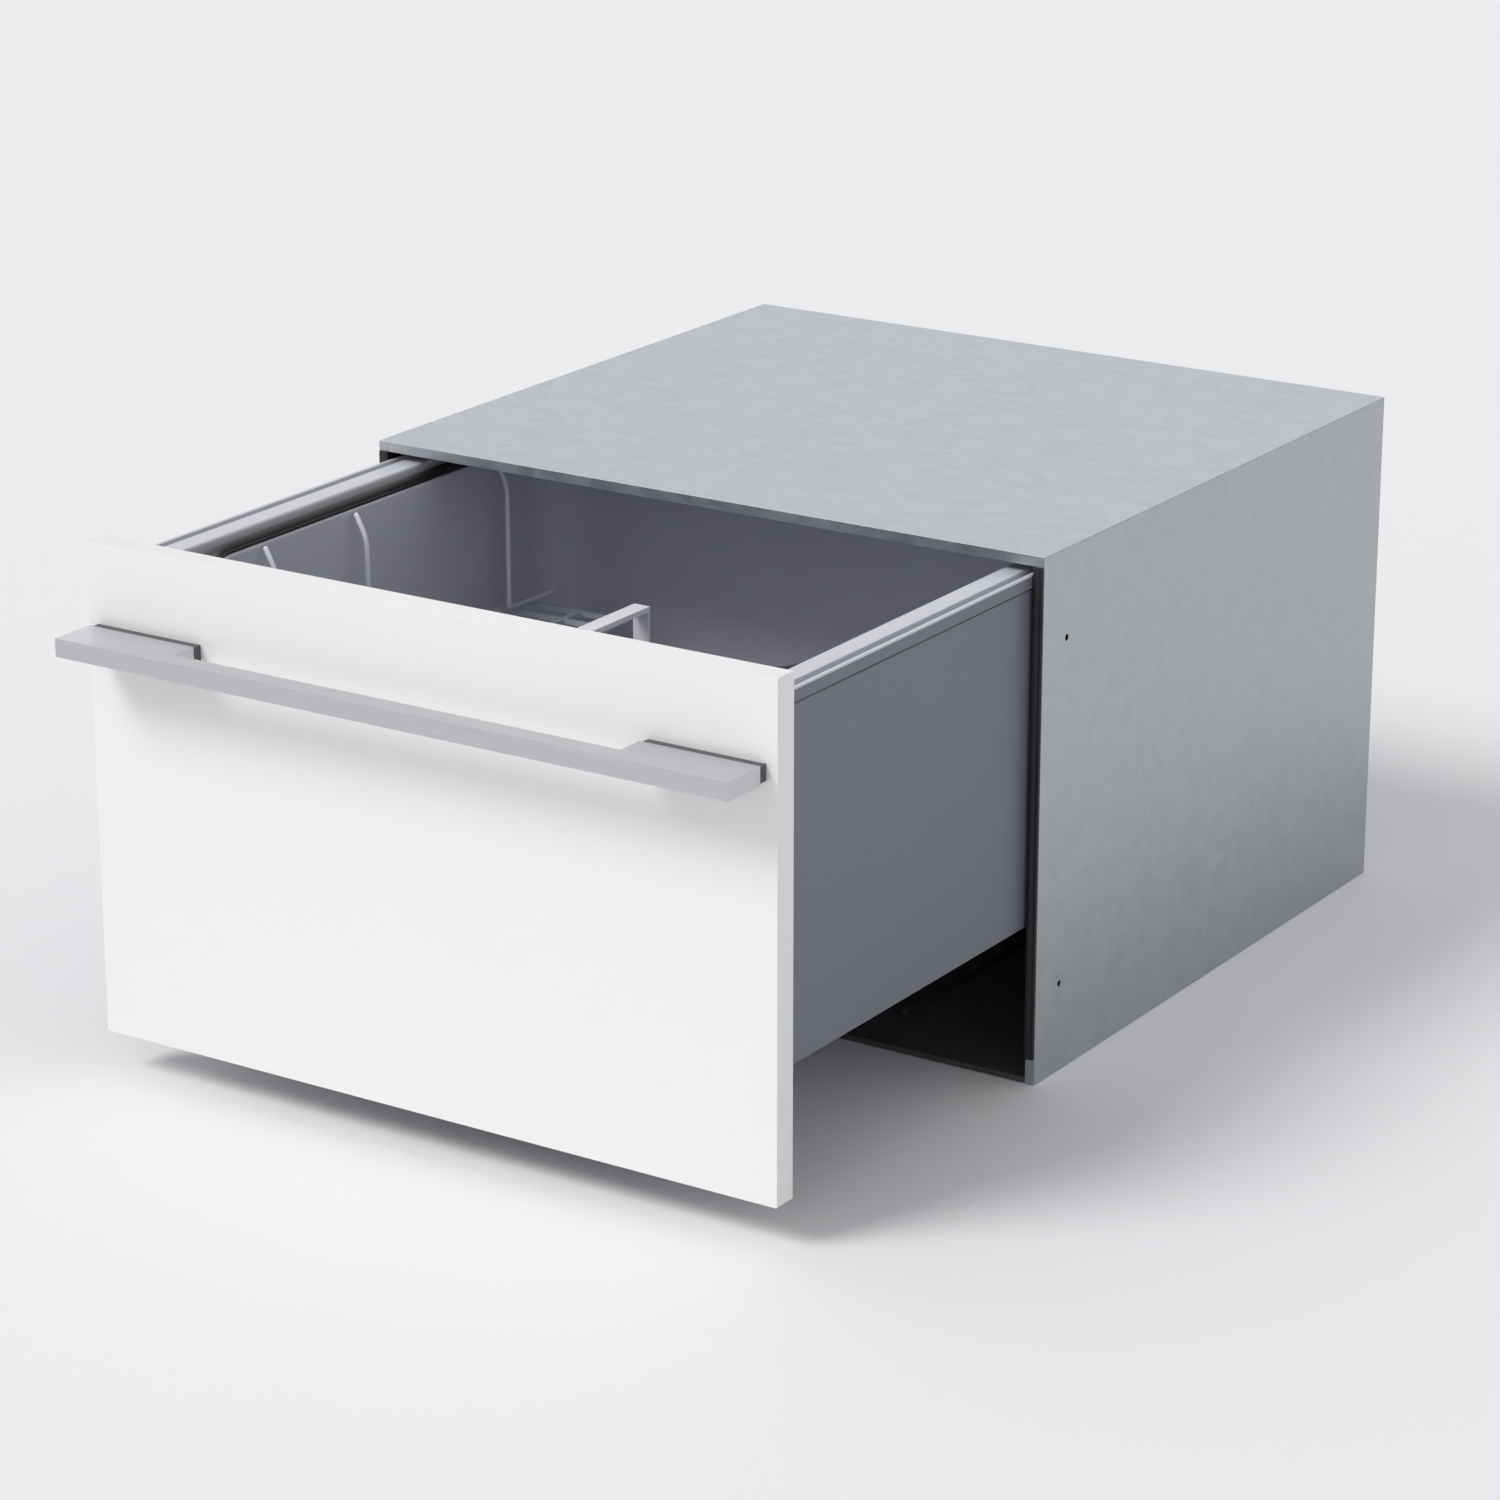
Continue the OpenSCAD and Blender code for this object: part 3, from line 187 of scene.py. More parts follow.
# %% A plain finish, and a pattern on it
def start(name, colour, roughness, metallic=0.0, **extra):
    """A material with the values that are the same all over it, and its Object coordinates."""
    made = bpy.data.materials.new(name)
    made.use_nodes = True
    tree = made.node_tree
    skin = tree.nodes["Principled BSDF"]
    skin.inputs["Base Color"].default_value = linear(colour)
    skin.inputs["Roughness"].default_value = roughness
    skin.inputs["Metallic"].default_value = metallic
    for socket, value in extra.items():
        skin.inputs[socket.replace("_", " ")].default_value = value
    place = node(tree, "ShaderNodeTexCoord").outputs["Object"]
    return made, tree, skin, place


def vary(tree, skin, pattern, colour, spread, roughness, rough_spread):
    """Lets a pattern from 0 to 1 lighten and darken a colour by spread, and roughen it by rough_spread."""
    low = tuple(c * (1 - spread) for c in linear(colour)[:3]) + (1,)
    high = tuple(min(1, c * (1 + spread)) for c in linear(colour)[:3]) + (1,)
    tint = node(tree, "ShaderNodeMix", {0: pattern, 6: low, 7: high}, data_type="RGBA")
    tree.links.new(tint.outputs[2], skin.inputs["Base Color"])
    rough = node(tree, "ShaderNodeMapRange", {"Value": pattern, "To Min": roughness - rough_spread,
                                              "To Max": roughness + rough_spread})
    tree.links.new(rough.outputs[0], skin.inputs["Roughness"])


print("finish tools ready")


# %% Moulded, rolled and zinc-coated
def moulded(name, colour, roughness, grain, depth, spread=0.05, **extra):
    """Plastic or rubber with the grain of its tool: grain is its width and depth its height, both in mm."""
    made, tree, skin, place = start(name, colour, roughness, **extra)
    cloud = node(tree, "ShaderNodeTexNoise", {"Vector": place, "Scale": 1 / (40 * MM), "Detail": 3.0})
    vary(tree, skin, cloud.outputs["Fac"], colour, spread, roughness, 0.06)
    tool = node(tree, "ShaderNodeTexNoise", {"Vector": place, "Scale": 1 / (grain * MM), "Detail": 2.0})
    bump = node(tree, "ShaderNodeBump", {"Height": tool.outputs["Fac"], "Distance": depth * MM, "Strength": 0.9})
    tree.links.new(bump.outputs[0], skin.inputs["Normal"])
    return made


def rolled(name, colour, roughness, along, length, width, depth=0.004, spread=0.08, **extra):
    """Metal with streaks of a length and width in mm that run along one axis: 0 is X, 1 is Y and 2 is Z."""
    made, tree, skin, place = start(name, colour, roughness, 1.0, **extra)
    scale = [1 / (width * MM)] * 3
    scale[along] = 1 / (length * MM)
    stretched = node(tree, "ShaderNodeMapping", {"Vector": place, "Scale": scale})
    streak = node(tree, "ShaderNodeTexNoise", {"Vector": stretched.outputs[0], "Scale": 1.0, "Detail": 4.0})
    vary(tree, skin, streak.outputs["Fac"], colour, spread, roughness, 0.08)
    bump = node(tree, "ShaderNodeBump", {"Height": streak.outputs["Fac"], "Distance": depth * MM, "Strength": 0.6})
    tree.links.new(bump.outputs[0], skin.inputs["Normal"])
    return made


def spangled(name, colour, roughness, cell):
    """Hot-dip zinc: flat crystals about cell mm wide, each a little lighter or darker than its neighbours, with
    smaller ones grown over them. A weak noise bends their edges into feathers."""
    made, tree, skin, place = start(name, colour, roughness, 1.0)
    bent = node(tree, "ShaderNodeTexNoise", {"Vector": place, "Scale": 1 / (5 * MM), "Detail": 2.0})
    shifted = node(tree, "ShaderNodeMix", {0: 0.0015, 4: place, 5: bent.outputs["Color"]}, data_type="VECTOR")
    shades = []
    for size in (cell, cell * 0.45):
        crystal = node(tree, "ShaderNodeTexVoronoi", {"Vector": shifted.outputs[1], "Scale": 1 / (size * MM)})
        shades.append(node(tree, "ShaderNodeSeparateColor", {0: crystal.outputs["Color"]}).outputs[0])
    shade = node(tree, "ShaderNodeMix", {0: 0.4, 2: shades[0], 3: shades[1]}, data_type="FLOAT")
    vary(tree, skin, shade.outputs[0], colour, 0.06, roughness, 0.05)
    fine = node(tree, "ShaderNodeTexNoise", {"Vector": place, "Scale": 1 / (1.5 * MM), "Detail": 2.0})
    bump = node(tree, "ShaderNodeBump", {"Height": fine.outputs["Fac"], "Distance": 0.003 * MM, "Strength": 0.5})
    tree.links.new(bump.outputs[0], skin.inputs["Normal"])
    return made


print("three families of finish")

# %% Finishes of wood, paint and plastic, by material slot
finish = {
    # satin two-part lacquer on board: a flat white with the faint orange peel of a sprayed film
    "white_lacquer": moulded("satin_lacquer", "#f0f0f0", 0.36, 3.0, 0.006, 0.006, Coat_Weight=0.15),
    # anodised aluminium bar, brushed along its length: a soft shine crossed by hairlines. Real hairlines are
    # about 0.1 mm wide, and these are 1 mm wide, so that they show at this distance
    "handle_metal": rolled("brushed_anodised_aluminium", "#c9cacc", 0.33, 0, 120, 1.0, 0.012, 0.14,
                           Anisotropic=0.6),
    "handle_pad": moulded("satin_dark_nylon", "#4c4d51", 0.45, 0.8, 0.01),
    # powder-coated steel: a blue-grey with the fine pebble of fused powder
    "side_paint": moulded("powder_coated_steel", "#6f717b", 0.42, 1.4, 0.02, 0.03),
    "rear_paint": moulded("powder_coated_rear_steel", "#5f6169", 0.5, 1.4, 0.02, 0.03),
    "cap_plastic": moulded("light_grey_abs", "#c9cad1", 0.35, 1.0, 0.006, 0.02),
    "gasket_rubber": moulded("epdm_rubber", "#151517", 0.6, 0.6, 0.01, 0.1),
    "seal_rubber": moulded("epdm_edge_rubber", "#1b1b1d", 0.65, 0.6, 0.01, 0.1),
    # talc-filled polypropylene, smooth from a polished tool
    "tub_plastic": moulded("filled_polypropylene", "#c2c3ce", 0.33, 5.0, 0.012, 0.03),
    "wire_coat": moulded("nylon_coated_wire", "#ededf1", 0.32, 1.5, 0.01, 0.03, Coat_Weight=0.3),
    "clip_plastic": moulded("moulded_polypropylene", "#bcbec6", 0.42, 1.0, 0.01, 0.03),
    "cutlery_plastic": moulded("white_polypropylene", "#dfe0e4", 0.42, 1.0, 0.01, 0.03),
    "dispenser_plastic": moulded("grey_abs", "#abadb5", 0.38, 1.0, 0.008, 0.03),
    "flap_plastic": moulded("pearl_grey_abs", "#dcdde2", 0.28, 1.6, 0.005, 0.02, Coat_Weight=0.2),
    "arm_plastic": moulded("glass_filled_polypropylene", "#a2a4aa", 0.4, 1.2, 0.01, 0.04),
    "filter_plastic": moulded("filter_polypropylene", "#8d939b", 0.42, 1.2, 0.01, 0.04),
    "impeller_plastic": moulded("filled_nylon", "#404146", 0.45, 1.0, 0.01),
    "frame_plastic": moulded("grained_grey_abs", "#7a7b82", 0.48, 1.2, 0.015, 0.04),
    "strip_plastic": moulded("piano_grey_abs", "#3b3c41", 0.24, 2.5, 0.003, 0.03, Coat_Weight=0.4),
    "button_plastic": moulded("satin_button_abs", "#d4d5da", 0.3, 1.0, 0.005, 0.02),
    "board_plastic": moulded("flame_safe_pbt", "#44454b", 0.5, 1.0, 0.012),
    "lid_plastic": moulded("white_filled_polypropylene", "#d5d6db", 0.42, 2.0, 0.01, 0.03),
    "actuator_plastic": moulded("black_pbt", "#2c2c2f", 0.48, 0.9, 0.012),
    "valve_plastic": moulded("ivory_nylon", "#e3e2d8", 0.42, 1.2, 0.01, 0.03),
    "hose_plastic": moulded("black_polypropylene", "#232325", 0.45, 0.9, 0.01),
}
print(len(finish), "finishes of wood, paint and plastic")

# %% Finishes of the chassis, the slides and the pump
finish.update({
    # both blacks are lifted to a dark grey: the plastic itself is near black, and the rest is painted light that
    # stands in for the sheen and fill light that black plastic shows in deep shade
    "black_tray": moulded("grained_black_abs_painted_light", "#4a4a4e", 0.4, 0.9, 0.02, 0.15),
    "black_liner": moulded("grained_black_polypropylene_painted_light", "#2c2c2f", 0.5, 0.9, 0.02, 0.15),
    "galvanised": spangled("hot_dip_galvanised_steel", "#b4b8bc", 0.42, 13),
    "bright_steel": rolled("zinc_plated_steel", "#b9bbbe", 0.34, 1, 30, 1.0),
    "screw_steel": rolled("zinc_plated_screw", "#a8aaad", 0.34, 1, 4, 0.8),
    "slide_dark": rolled("black_zinc_steel", "#54555a", 0.4, 1, 50, 1.2),
    "slide_middle": rolled("black_zinc_cold_rolled_steel", "#5c5d62", 0.38, 1, 50, 1.2),
    "rail_steel": moulded("dipped_black_steel", "#3c3d41", 0.45, 1.2, 0.012),
    "motor_metal": moulded("die_cast_aluminium", "#9a9b9f", 0.48, 1.0, 0.03, 0.08, Metallic=1.0),
    "heater_steel": rolled("drawn_steel_tube", "#8b8981", 0.32, 2, 8, 1.0),
    "filter_steel": rolled("perforated_stainless_steel", "#8b8d91", 0.36, 0, 30, 0.8),
})
for name, solid in frame["nodes"].items():
    if not solid.material_slots:
        solid.data.materials.append(None)
    solid.material_slots[0].material = finish[slot_of[name]]
print(len(finish), "finishes")

# %% [markdown]
# ## Folded steel and plain mouldings
#
# The chassis is folded from thin zinc-coated sheet, the slides are rolled from thicker strip, and the tray,
# liners and frames are moulded. Their shapes are already right as solids, so each is copied and only its
# edges change: sheet keeps the tight edge that a shear leaves, and mouldings get the larger radius that
# lets them leave the tool.


# %% Pieces with soft edges
def settle(piece, *nodes, body=None, slot=None):
    """Puts a piece on the body of the solid that it stands for, in that solid's slot and finish."""
    body = body or frame["nodes"][nodes[0]]["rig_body"]
    slot = slot or slot_of[nodes[0]]
    piece.data.materials.clear()
    piece.data.materials.append(finish[slot])
    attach(piece, body)
    if nodes:
        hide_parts(*nodes)
    return piece


def round_edges(piece, width, segments=2):
    """Rounds every edge sharper than 30 degrees with a Bevel modifier; width is in mm."""
    bevel = piece.modifiers.new("rounded_edges", "BEVEL")
    bevel.width = width * MM
    bevel.segments = segments
    bevel.limit_method = "ANGLE"
    bevel.angle_limit = math.radians(30)
    bevel.harden_normals = True
    return piece


def soften(solid, width, segments=2, merge=True):
    """A copy of a solid with its edges rounded: loose triangles are joined, flat areas become whole faces,
    and the sharp edges are rounded. With merge off the triangles stay, because a whole face that winds
    round a hole can fold over itself when its edges are rounded."""
    mesh = bpy.data.meshes.new(solid + "_formed")
    shell = bmesh.new()
    shell.from_mesh(frame["nodes"][solid].data)
    bmesh.ops.remove_doubles(shell, verts=shell.verts, dist=1e-5)
    if merge:
        bmesh.ops.dissolve_limit(shell, angle_limit=math.radians(1.5), verts=shell.verts, edges=shell.edges)
    shell.to_mesh(mesh)
    shell.free()
    mesh.polygons.foreach_set("use_smooth", [True] * len(mesh.polygons))
    mesh.set_sharp_from_angle(angle=math.radians(32))
    piece = bpy.data.objects.new(solid + "_formed", mesh)
    scene.collection.objects.link(piece)
    round_edges(piece, width, segments)
    return settle(piece, solid)


print("soft edges ready")

# %% Chassis, slides and lid
for solid in ("side_sheet_left", "side_sheet_right", "top_sheet", "back_sheet"):
    soften(solid, 0.3)
soften("base_tray", 1.0)
for solid in ("side_liner_left", "side_liner_right"):
    soften(solid, 0.5)
for solid in ("outer_slides", "inner_slides", "slide_middle_left", "slide_middle_right", "tub_rails"):
    soften(solid, 0.45)
soften("lid_plate", 0.7)
soften("lid_straps", 0.35)
soften("lid_actuators", 1.2, 3)
print("chassis formed")

# %% Front, skins and basket mouldings
soften("door_panel", 0.8, 3)
soften("handle", 0.9, 3)
soften("handle_pads", 0.5)
soften("panel_brackets", 0.4)
soften("front_frame", 0.9)
soften("control_strip", 0.7, 3)
soften("control_boards", 0.8)
for solid in ("side_panel_left", "side_panel_right", "rear_panel"):
    soften(solid, 0.5)
for solid in ("cup_rack_front_left", "cup_rack_rear_left", "cup_rack_front_right", "cup_rack_rear_right"):
    soften(solid, 0.55)
soften("cutlery_basket", 0.35)
soften("dispenser_body", 0.6, merge=False)
soften("dispenser_flap", 0.9, 3)
soften("rinse_cap", 0.8, 3, merge=False)
soften("filter_plate", 0.35)
soften("drain_filter", 0.4)
print("mouldings formed")

# %% [markdown]
# ## Rim caps, gasket and tub
#
# The rim is what the photograph shows best: a light cap on each side with a deep groove near its outer
# edge, then the black lid gasket, then the grey tub wall. Outside, a painted skirt hides the cap's edge, and
# a narrow shadow line parts it from the side panel. Caps and skirts are extruded sections. The gasket is a
# hollow bulb on a foot, swept round the mouth, so its section is drawn once and carried round a rectangle
# with round corners. The tub is a lofted shell: every row is such a rectangle, and the last rows turn into
# the round sump.
#
# A shape here is a pair: an array of points and a list of arrays of faces. Every surface is a grid that
# depends on two parameters, so one function turns any grid into faces, closed round or not.


# %% Grids and sections
def grid(points, round_rows=False, round_columns=False, caps=False):
    """Faces over an array of points [row, column, xyz]: each face joins a point to the next ones along
    both directions, and a direction that is round joins its last line to its first. Caps close the first
    and last row with one face each."""
    rows, columns = points.shape[:2]
    index = np.arange(rows * columns).reshape(rows, columns)
    if round_rows:
        index = np.vstack([index, index[:1]])
    if round_columns:
        index = np.hstack([index, index[:, :1]])
    quads = np.stack([index[:-1, :-1], index[:-1, 1:], index[1:, 1:], index[1:, :-1]], axis=-1).reshape(-1, 4)
    faces = [quads]
    if caps:
        faces += [np.arange(columns)[None, ::-1], np.arange((rows - 1) * columns, rows * columns)[None]]
    return points.reshape(-1, 3), faces


def build(name, shape, sharp=32):
    """An object from a shape, smooth except over edges sharper than an angle in degrees, with its doubled
    points merged and its faces turned outwards."""
    points, faces = shape
    mesh = bpy.data.meshes.new(name)
    mesh.from_pydata(points.tolist(), [], [face for group in faces for face in group.tolist()])
    shell = bmesh.new()
    shell.from_mesh(mesh)
    bmesh.ops.remove_doubles(shell, verts=shell.verts, dist=1e-6)
    bmesh.ops.recalc_face_normals(shell, faces=shell.faces)
    shell.to_mesh(mesh)
    shell.free()
    mesh.polygons.foreach_set("use_smooth", [True] * len(mesh.polygons))
    mesh.set_sharp_from_angle(angle=math.radians(sharp))
    piece = bpy.data.objects.new(name, mesh)
    scene.collection.objects.link(piece)
    return piece


def curve_corners(section, radii, steps=6, closed=True):
    """A section in mm with its corners rounded: corner i becomes a quadratic curve that starts and ends
    radii[i] before and after it. The ends of an open section stay as they are."""
    section = np.array(section, float)
    radii = np.full(len(section), float(radii)) if np.isscalar(radii) else np.array(radii, float)
    before, after = np.roll(section, 1, axis=0), np.roll(section, -1, axis=0)
    entry = section + (before - section) / np.linalg.norm(before - section, axis=1)[:, None] * radii[:, None]
    leave = section + (after - section) / np.linalg.norm(after - section, axis=1)[:, None] * radii[:, None]
    t = np.linspace(0, 1, steps)[None, :, None]
    curve = (1 - t) ** 2 * entry[:, None] + 2 * t * (1 - t) * section[:, None] + t ** 2 * leave[:, None]
    if closed:
        return curve.reshape(-1, section.shape[1])
    inner = curve[1:-1].reshape(-1, section.shape[1])
    return np.vstack([section[:1], inner, section[-1:]])


def extrude(section, axis, low, high):
    """A closed flat section in mm drawn out along an axis: point j of ring i is section j at level i."""
    section = np.array(section, float)
    order = {0: [2, 0, 1], 1: [0, 2, 1], 2: [0, 1, 2]}[axis]
    rings = [np.column_stack([section, np.full(len(section), float(level))])[:, order] for level in (low, high)]
    return grid(np.stack(rings) * MM, round_columns=True, caps=True)


print("sections ready")


# %% Mirroring and measuring
def mirror_x(shape):
    """The same shape on the other side of the middle plane."""
    points, faces = shape
    return points * np.array([-1.0, 1.0, 1.0]), [face[:, ::-1] for face in faces]


def span(name):
    """Lowest and highest corner of a solid at rest, in mm."""
    low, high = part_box(name)
    return np.array(low) / MM, np.array(high) / MM


print("handle at", span("handle")[0].round(1), "to", span("handle")[1].round(1), "mm")

# %% Rim caps
low, high = span("rim_cap_right")
inner, outer, foot, top = low[0], high[0], low[2], high[2]
SKIRT, LINE, LIP = 0.8, 1.8, 1.5   # the skirt's thickness, the shadow line's height and the cap's outer lip
behind = outer - SKIRT - 0.05
cap_section = curve_corners(
    [(inner, foot), (outer - 3, foot), (outer - 3, foot + LINE), (behind, foot + LINE), (behind, top - LIP),
     (outer, top - LIP), (outer, top), (outer - 3.5, top), (outer - 3.5, top - 8.5), (outer - 10, top - 8.5),
     (outer - 10, top), (inner, top)],
    [0.4, 0.3, 0.3, 0.3, 0.2, 0.3, 0.9, 0.7, 0.5, 0.5, 0.9, 3.0])
skirt_section = curve_corners(
    [(outer - SKIRT, foot + LINE), (outer, foot + LINE), (outer, top - LIP - 0.1),
     (outer - SKIRT, top - LIP - 0.1)],
    [0.1, 0.4, 0.2, 0.1])
right_cap = extrude(cap_section, 1, low[1], high[1])
right_skirt = extrude(skirt_section, 1, low[1] + 0.3, high[1] - 0.3)
for name, cap, skirt in (("right", right_cap, right_skirt), ("left", mirror_x(right_cap), mirror_x(right_skirt))):
    settle(round_edges(build("rim_cap_" + name + "_formed", cap), 0.4), "rim_cap_" + name)
    settle(build("rim_skirt_" + name, skirt), body="drawer", slot="side_paint")
print("caps", round(high[0] - low[0], 1), "mm wide")


# %% Loops with round corners
def round_loop(half_x, y0, y1, radius, corner=10, straight=12):
    """A rectangle with round corners, in mm: four arcs joined by straight sides, with the same number of
    points for any size, so that loops of different sizes can be joined."""
    loop = []
    arc = np.radians(np.linspace(0, 90, corner, endpoint=False))
    centres = [(half_x - radius, y1 - radius), (radius - half_x, y1 - radius),
               (radius - half_x, y0 + radius), (half_x - radius, y0 + radius)]
    for k, (cx, cy) in enumerate(centres):
        a = arc + np.pi / 2 * k
        loop.append(np.stack([cx + radius * np.cos(a), cy + radius * np.sin(a)], axis=1))
        nx, ny = centres[(k + 1) % 4]
        turn = np.pi / 2 * (k + 1)
        start_at = np.array([cx + radius * np.cos(turn), cy + radius * np.sin(turn)])
        end_at = np.array([nx + radius * np.cos(turn), ny + radius * np.sin(turn)])
        loop.append(start_at + np.linspace(0, 1, straight, endpoint=False)[:, None] * (end_at - start_at))
    return np.vstack(loop)


def at_height(loop, z):
    """A flat loop lifted to one height."""
    return np.column_stack([loop, np.full(len(loop), float(z))])


print("a loop has", len(round_loop(100, -50, 50, 10)), "points")

# %% Lid gasket: u runs over its width, from the mouth to the cap
arc = np.linspace(0, np.pi, 15)
gasket_z = span("lid_gasket")[0][2]
lip = [(0.0, gasket_z), (0.0, gasket_z + 1.8), (0.06, gasket_z + 2.3)]
lip += [(0.5 - 0.42 * math.cos(a), gasket_z + 2.9 + 4.0 * math.sin(a)) for a in arc]
lip += [(0.94, gasket_z + 2.3), (1.0, gasket_z + 1.8), (1.0, gasket_z)]
rows = [at_height(round_loop(253 + 8.1 * u, -281.4 - 8.5 * u, 170.4 + 7 * u, 41 + 7 * u, 14), z) for u, z in lip]
settle(build("gasket_bulb", grid(np.stack(rows) * MM, round_rows=True, round_columns=True)), "lid_gasket")
print("gasket rows", len(rows))

# %% Loops and rings of the tub
MOUTH = (252.0, -280.5, 169.5)   # half width, front and back of the tub's mouth, in mm
SUMP_MIDDLE = (0.0, -55.5)


def tub_loop(offset, radius, z):
    """A loop round the tub: the mouth's rectangle grown by offset, with corners of a radius."""
    return at_height(round_loop(MOUTH[0] + offset, MOUTH[1] - offset, MOUTH[2] + offset, radius), z)


facing = tub_loop(-17, 40, 0)[:, :2] - np.array(SUMP_MIDDLE)
facing /= np.linalg.norm(facing, axis=1, keepdims=True)


def sump_ring(radius, z):
    """A ring round the sump whose points look towards those of the tub's loops."""
    return at_height(np.array(SUMP_MIDDLE) + radius * facing, z)


print("loops of", len(facing), "points")


# %% Tub
def cut(piece, low, high):
    """Cuts a box with corners in mm out of a piece, and keeps the result as its mesh."""
    corners = np.array([[x, y, z] for x in (low[0], high[0]) for y in (low[1], high[1]) for z in (low[2], high[2])])
    sides = [(0, 1, 3, 2), (4, 6, 7, 5), (0, 4, 5, 1), (2, 3, 7, 6), (0, 2, 6, 4), (1, 5, 7, 3)]
    block = bpy.data.meshes.new("cutter")
    block.from_pydata((corners * MM).tolist(), [], sides)
    cutter = bpy.data.objects.new("cutter", block)
    scene.collection.objects.link(cutter)
    boolean = piece.modifiers.new("cut", "BOOLEAN")
    boolean.operation, boolean.solver, boolean.object = "DIFFERENCE", "EXACT", cutter
    graph = bpy.context.evaluated_depsgraph_get()
    result = bpy.data.meshes.new_from_object(piece.evaluated_get(graph))
    piece.modifiers.clear()
    piece.data = result
    bpy.data.objects.remove(cutter)
    result.set_sharp_from_angle(angle=math.radians(32))
    return piece


inside = curve_corners([(5, 383), (0, 383), (0, 126), (-17, 126), (-17, 95), (-60, 95)], [0, 3, 7, 4, 11, 0],
                       closed=False)
outside = curve_corners([(-60, 92), (-14, 92), (-14, 123), (3, 123), (3, 380), (6, 380)], [0, 10, 4, 6, 2, 0],
                        closed=False)
well = curve_corners([(124, 95), (115, 95), (115, 89), (111, 89), (111, 65), (5.2, 65)], [0, 3, 1, 1, 8, 0],
                     closed=False)
under = curve_corners([(5.2, 62), (118, 62), (118, 92), (124, 92)], [0, 9, 2, 0], closed=False)
RIM = (286.3, -290.4, 177.4)   # half width, front and back of the rim flange, in mm
rows = [at_height(round_loop(*RIM, 3), 383)]
rows += [tub_loop(offset, 40, z) for offset, z in inside]
rows += [sump_ring(radius, z) for radius, z in well]
rows += [sump_ring(radius, z) for radius, z in under]
rows += [tub_loop(offset, 43, z) for offset, z in outside]
rows += [at_height(round_loop(*RIM, 3), 380)]
tub = build("tub_shell", grid(np.stack(rows) * MM, round_rows=True, round_columns=True), 40)
cut(tub, (-138, -290, 248), (-14, -276, 332))   # the window of the dispenser
settle(tub, "tub")
print("tub rows", len(rows))

# %% [markdown]
# ## Basket
#
# A dish basket is welded from round steel wire and dipped in nylon, which rounds every tip. The floor wires
# stand on a rim wire with round corners, and the side wires rise and then bend outwards to the tub's rim.
# Those bent ends are the only part of the basket that the photograph shows clearly.


# %% Wires, hoops and joins
def join(*shapes):
    """Several shapes as one: each shape's face numbers move up by the points before it."""
    starts = np.cumsum([0] + [len(points) for points, _ in shapes[:-1]])
    return (np.vstack([points for points, _ in shapes]),
            [face + first for (_, faces), first in zip(shapes, starts) for face in faces])


def wire(path, radius, flat_normal, sides=12):
    """A round wire along a path in mm that lies in one plane: each ring is centre plus radius times
    (cos a, sin a) in the two directions across the path. Its tips are half spheres inside its length."""
    path = np.array(path, float)
    first = (path[1] - path[0]) / np.linalg.norm(path[1] - path[0])
    last = (path[-1] - path[-2]) / np.linalg.norm(path[-1] - path[-2])
    turn = np.radians([14, 38, 64, 90])[:, None]
    head = path[0] + first * radius * (1 - np.cos(turn))
    tail = (path[-1] - last * radius * (1 - np.cos(turn)))[::-1]
    spine = np.vstack([head, path[1:-1], tail])
    thick = radius * np.concatenate([np.sin(turn[:, 0]), np.ones(len(path) - 2), np.sin(turn[::-1, 0])])
    run = np.gradient(spine, axis=0)
    run /= np.linalg.norm(run, axis=1, keepdims=True)
    up = np.array(flat_normal, float)[None]
    side = np.cross(up, run)
    side /= np.linalg.norm(side, axis=1, keepdims=True)
    angle = np.linspace(0, 2 * np.pi, sides, endpoint=False)
    ring = (spine[:, None] + thick[:, None, None]
            * (np.cos(angle)[None, :, None] * side[:, None] + np.sin(angle)[None, :, None] * up[:, None]))
    return grid(ring * MM, round_columns=True, caps=True)


def hoop(path, radius, up=(0, 0, 1), sides=12):
    """A wire that closes on itself: each ring is path plus radius times (cos a * side + sin a * up)."""
    path = np.array(path, float)
    run = np.roll(path, -1, axis=0) - np.roll(path, 1, axis=0)
    run /= np.linalg.norm(run, axis=1, keepdims=True)
    up = np.array(up, float)[None]
    side = np.cross(up, run)
    angle = np.linspace(0, 2 * np.pi, sides, endpoint=False)
    ring = path[:, None] + radius * (np.cos(angle)[None, :, None] * side[:, None]
                                     + np.sin(angle)[None, :, None] * up[:, None])
    return grid(ring * MM, round_rows=True, round_columns=True)


print("wire tools ready")

# %% Basket floor
WIRE = 2.0     # radius
MESH = 40      # from wire to wire
rim_z, floor_z = 128.0, 131.0
front, back, half = -266.0, 155.0, 237.5
floor_wires = [hoop(at_height(round_loop(half, front, back, 32, 8, 4), rim_z), WIRE)]
for k in range(-5, 6):
    floor_wires.append(wire([(MESH * k, y, floor_z) for y in (front - 1, 0, back + 1)], WIRE, (0, 0, 1)))
for k in range(-4, 5):
    y = MESH * k - 55.5
    floor_wires.append(wire([(x, y, floor_z) for x in (-half - 1, 0, half + 1)], WIRE, (0, 0, 1)))
settle(build("basket_floor", join(*floor_wires)), "rack_floor")
print("floor wires", len(floor_wires))


# %% Basket sides
def bend(corners, radius, steps=6):
    """A path through corner points in mm, each inner corner cut by a quadratic curve that starts and ends
    radius before and after it."""
    corners = np.array(corners, float)
    parts = [corners[:1]]
    t = np.linspace(0, 1, steps)[:, None]
    for before, corner, after in zip(corners[:-2], corners[1:-1], corners[2:]):
        entry = corner + (before - corner) / np.linalg.norm(before - corner) * radius
        leave = corner + (after - corner) / np.linalg.norm(after - corner) * radius
        parts.append((1 - t) ** 2 * entry + 2 * t * (1 - t) * corner + t ** 2 * leave)
    return np.vstack(parts + [corners[-1:]])


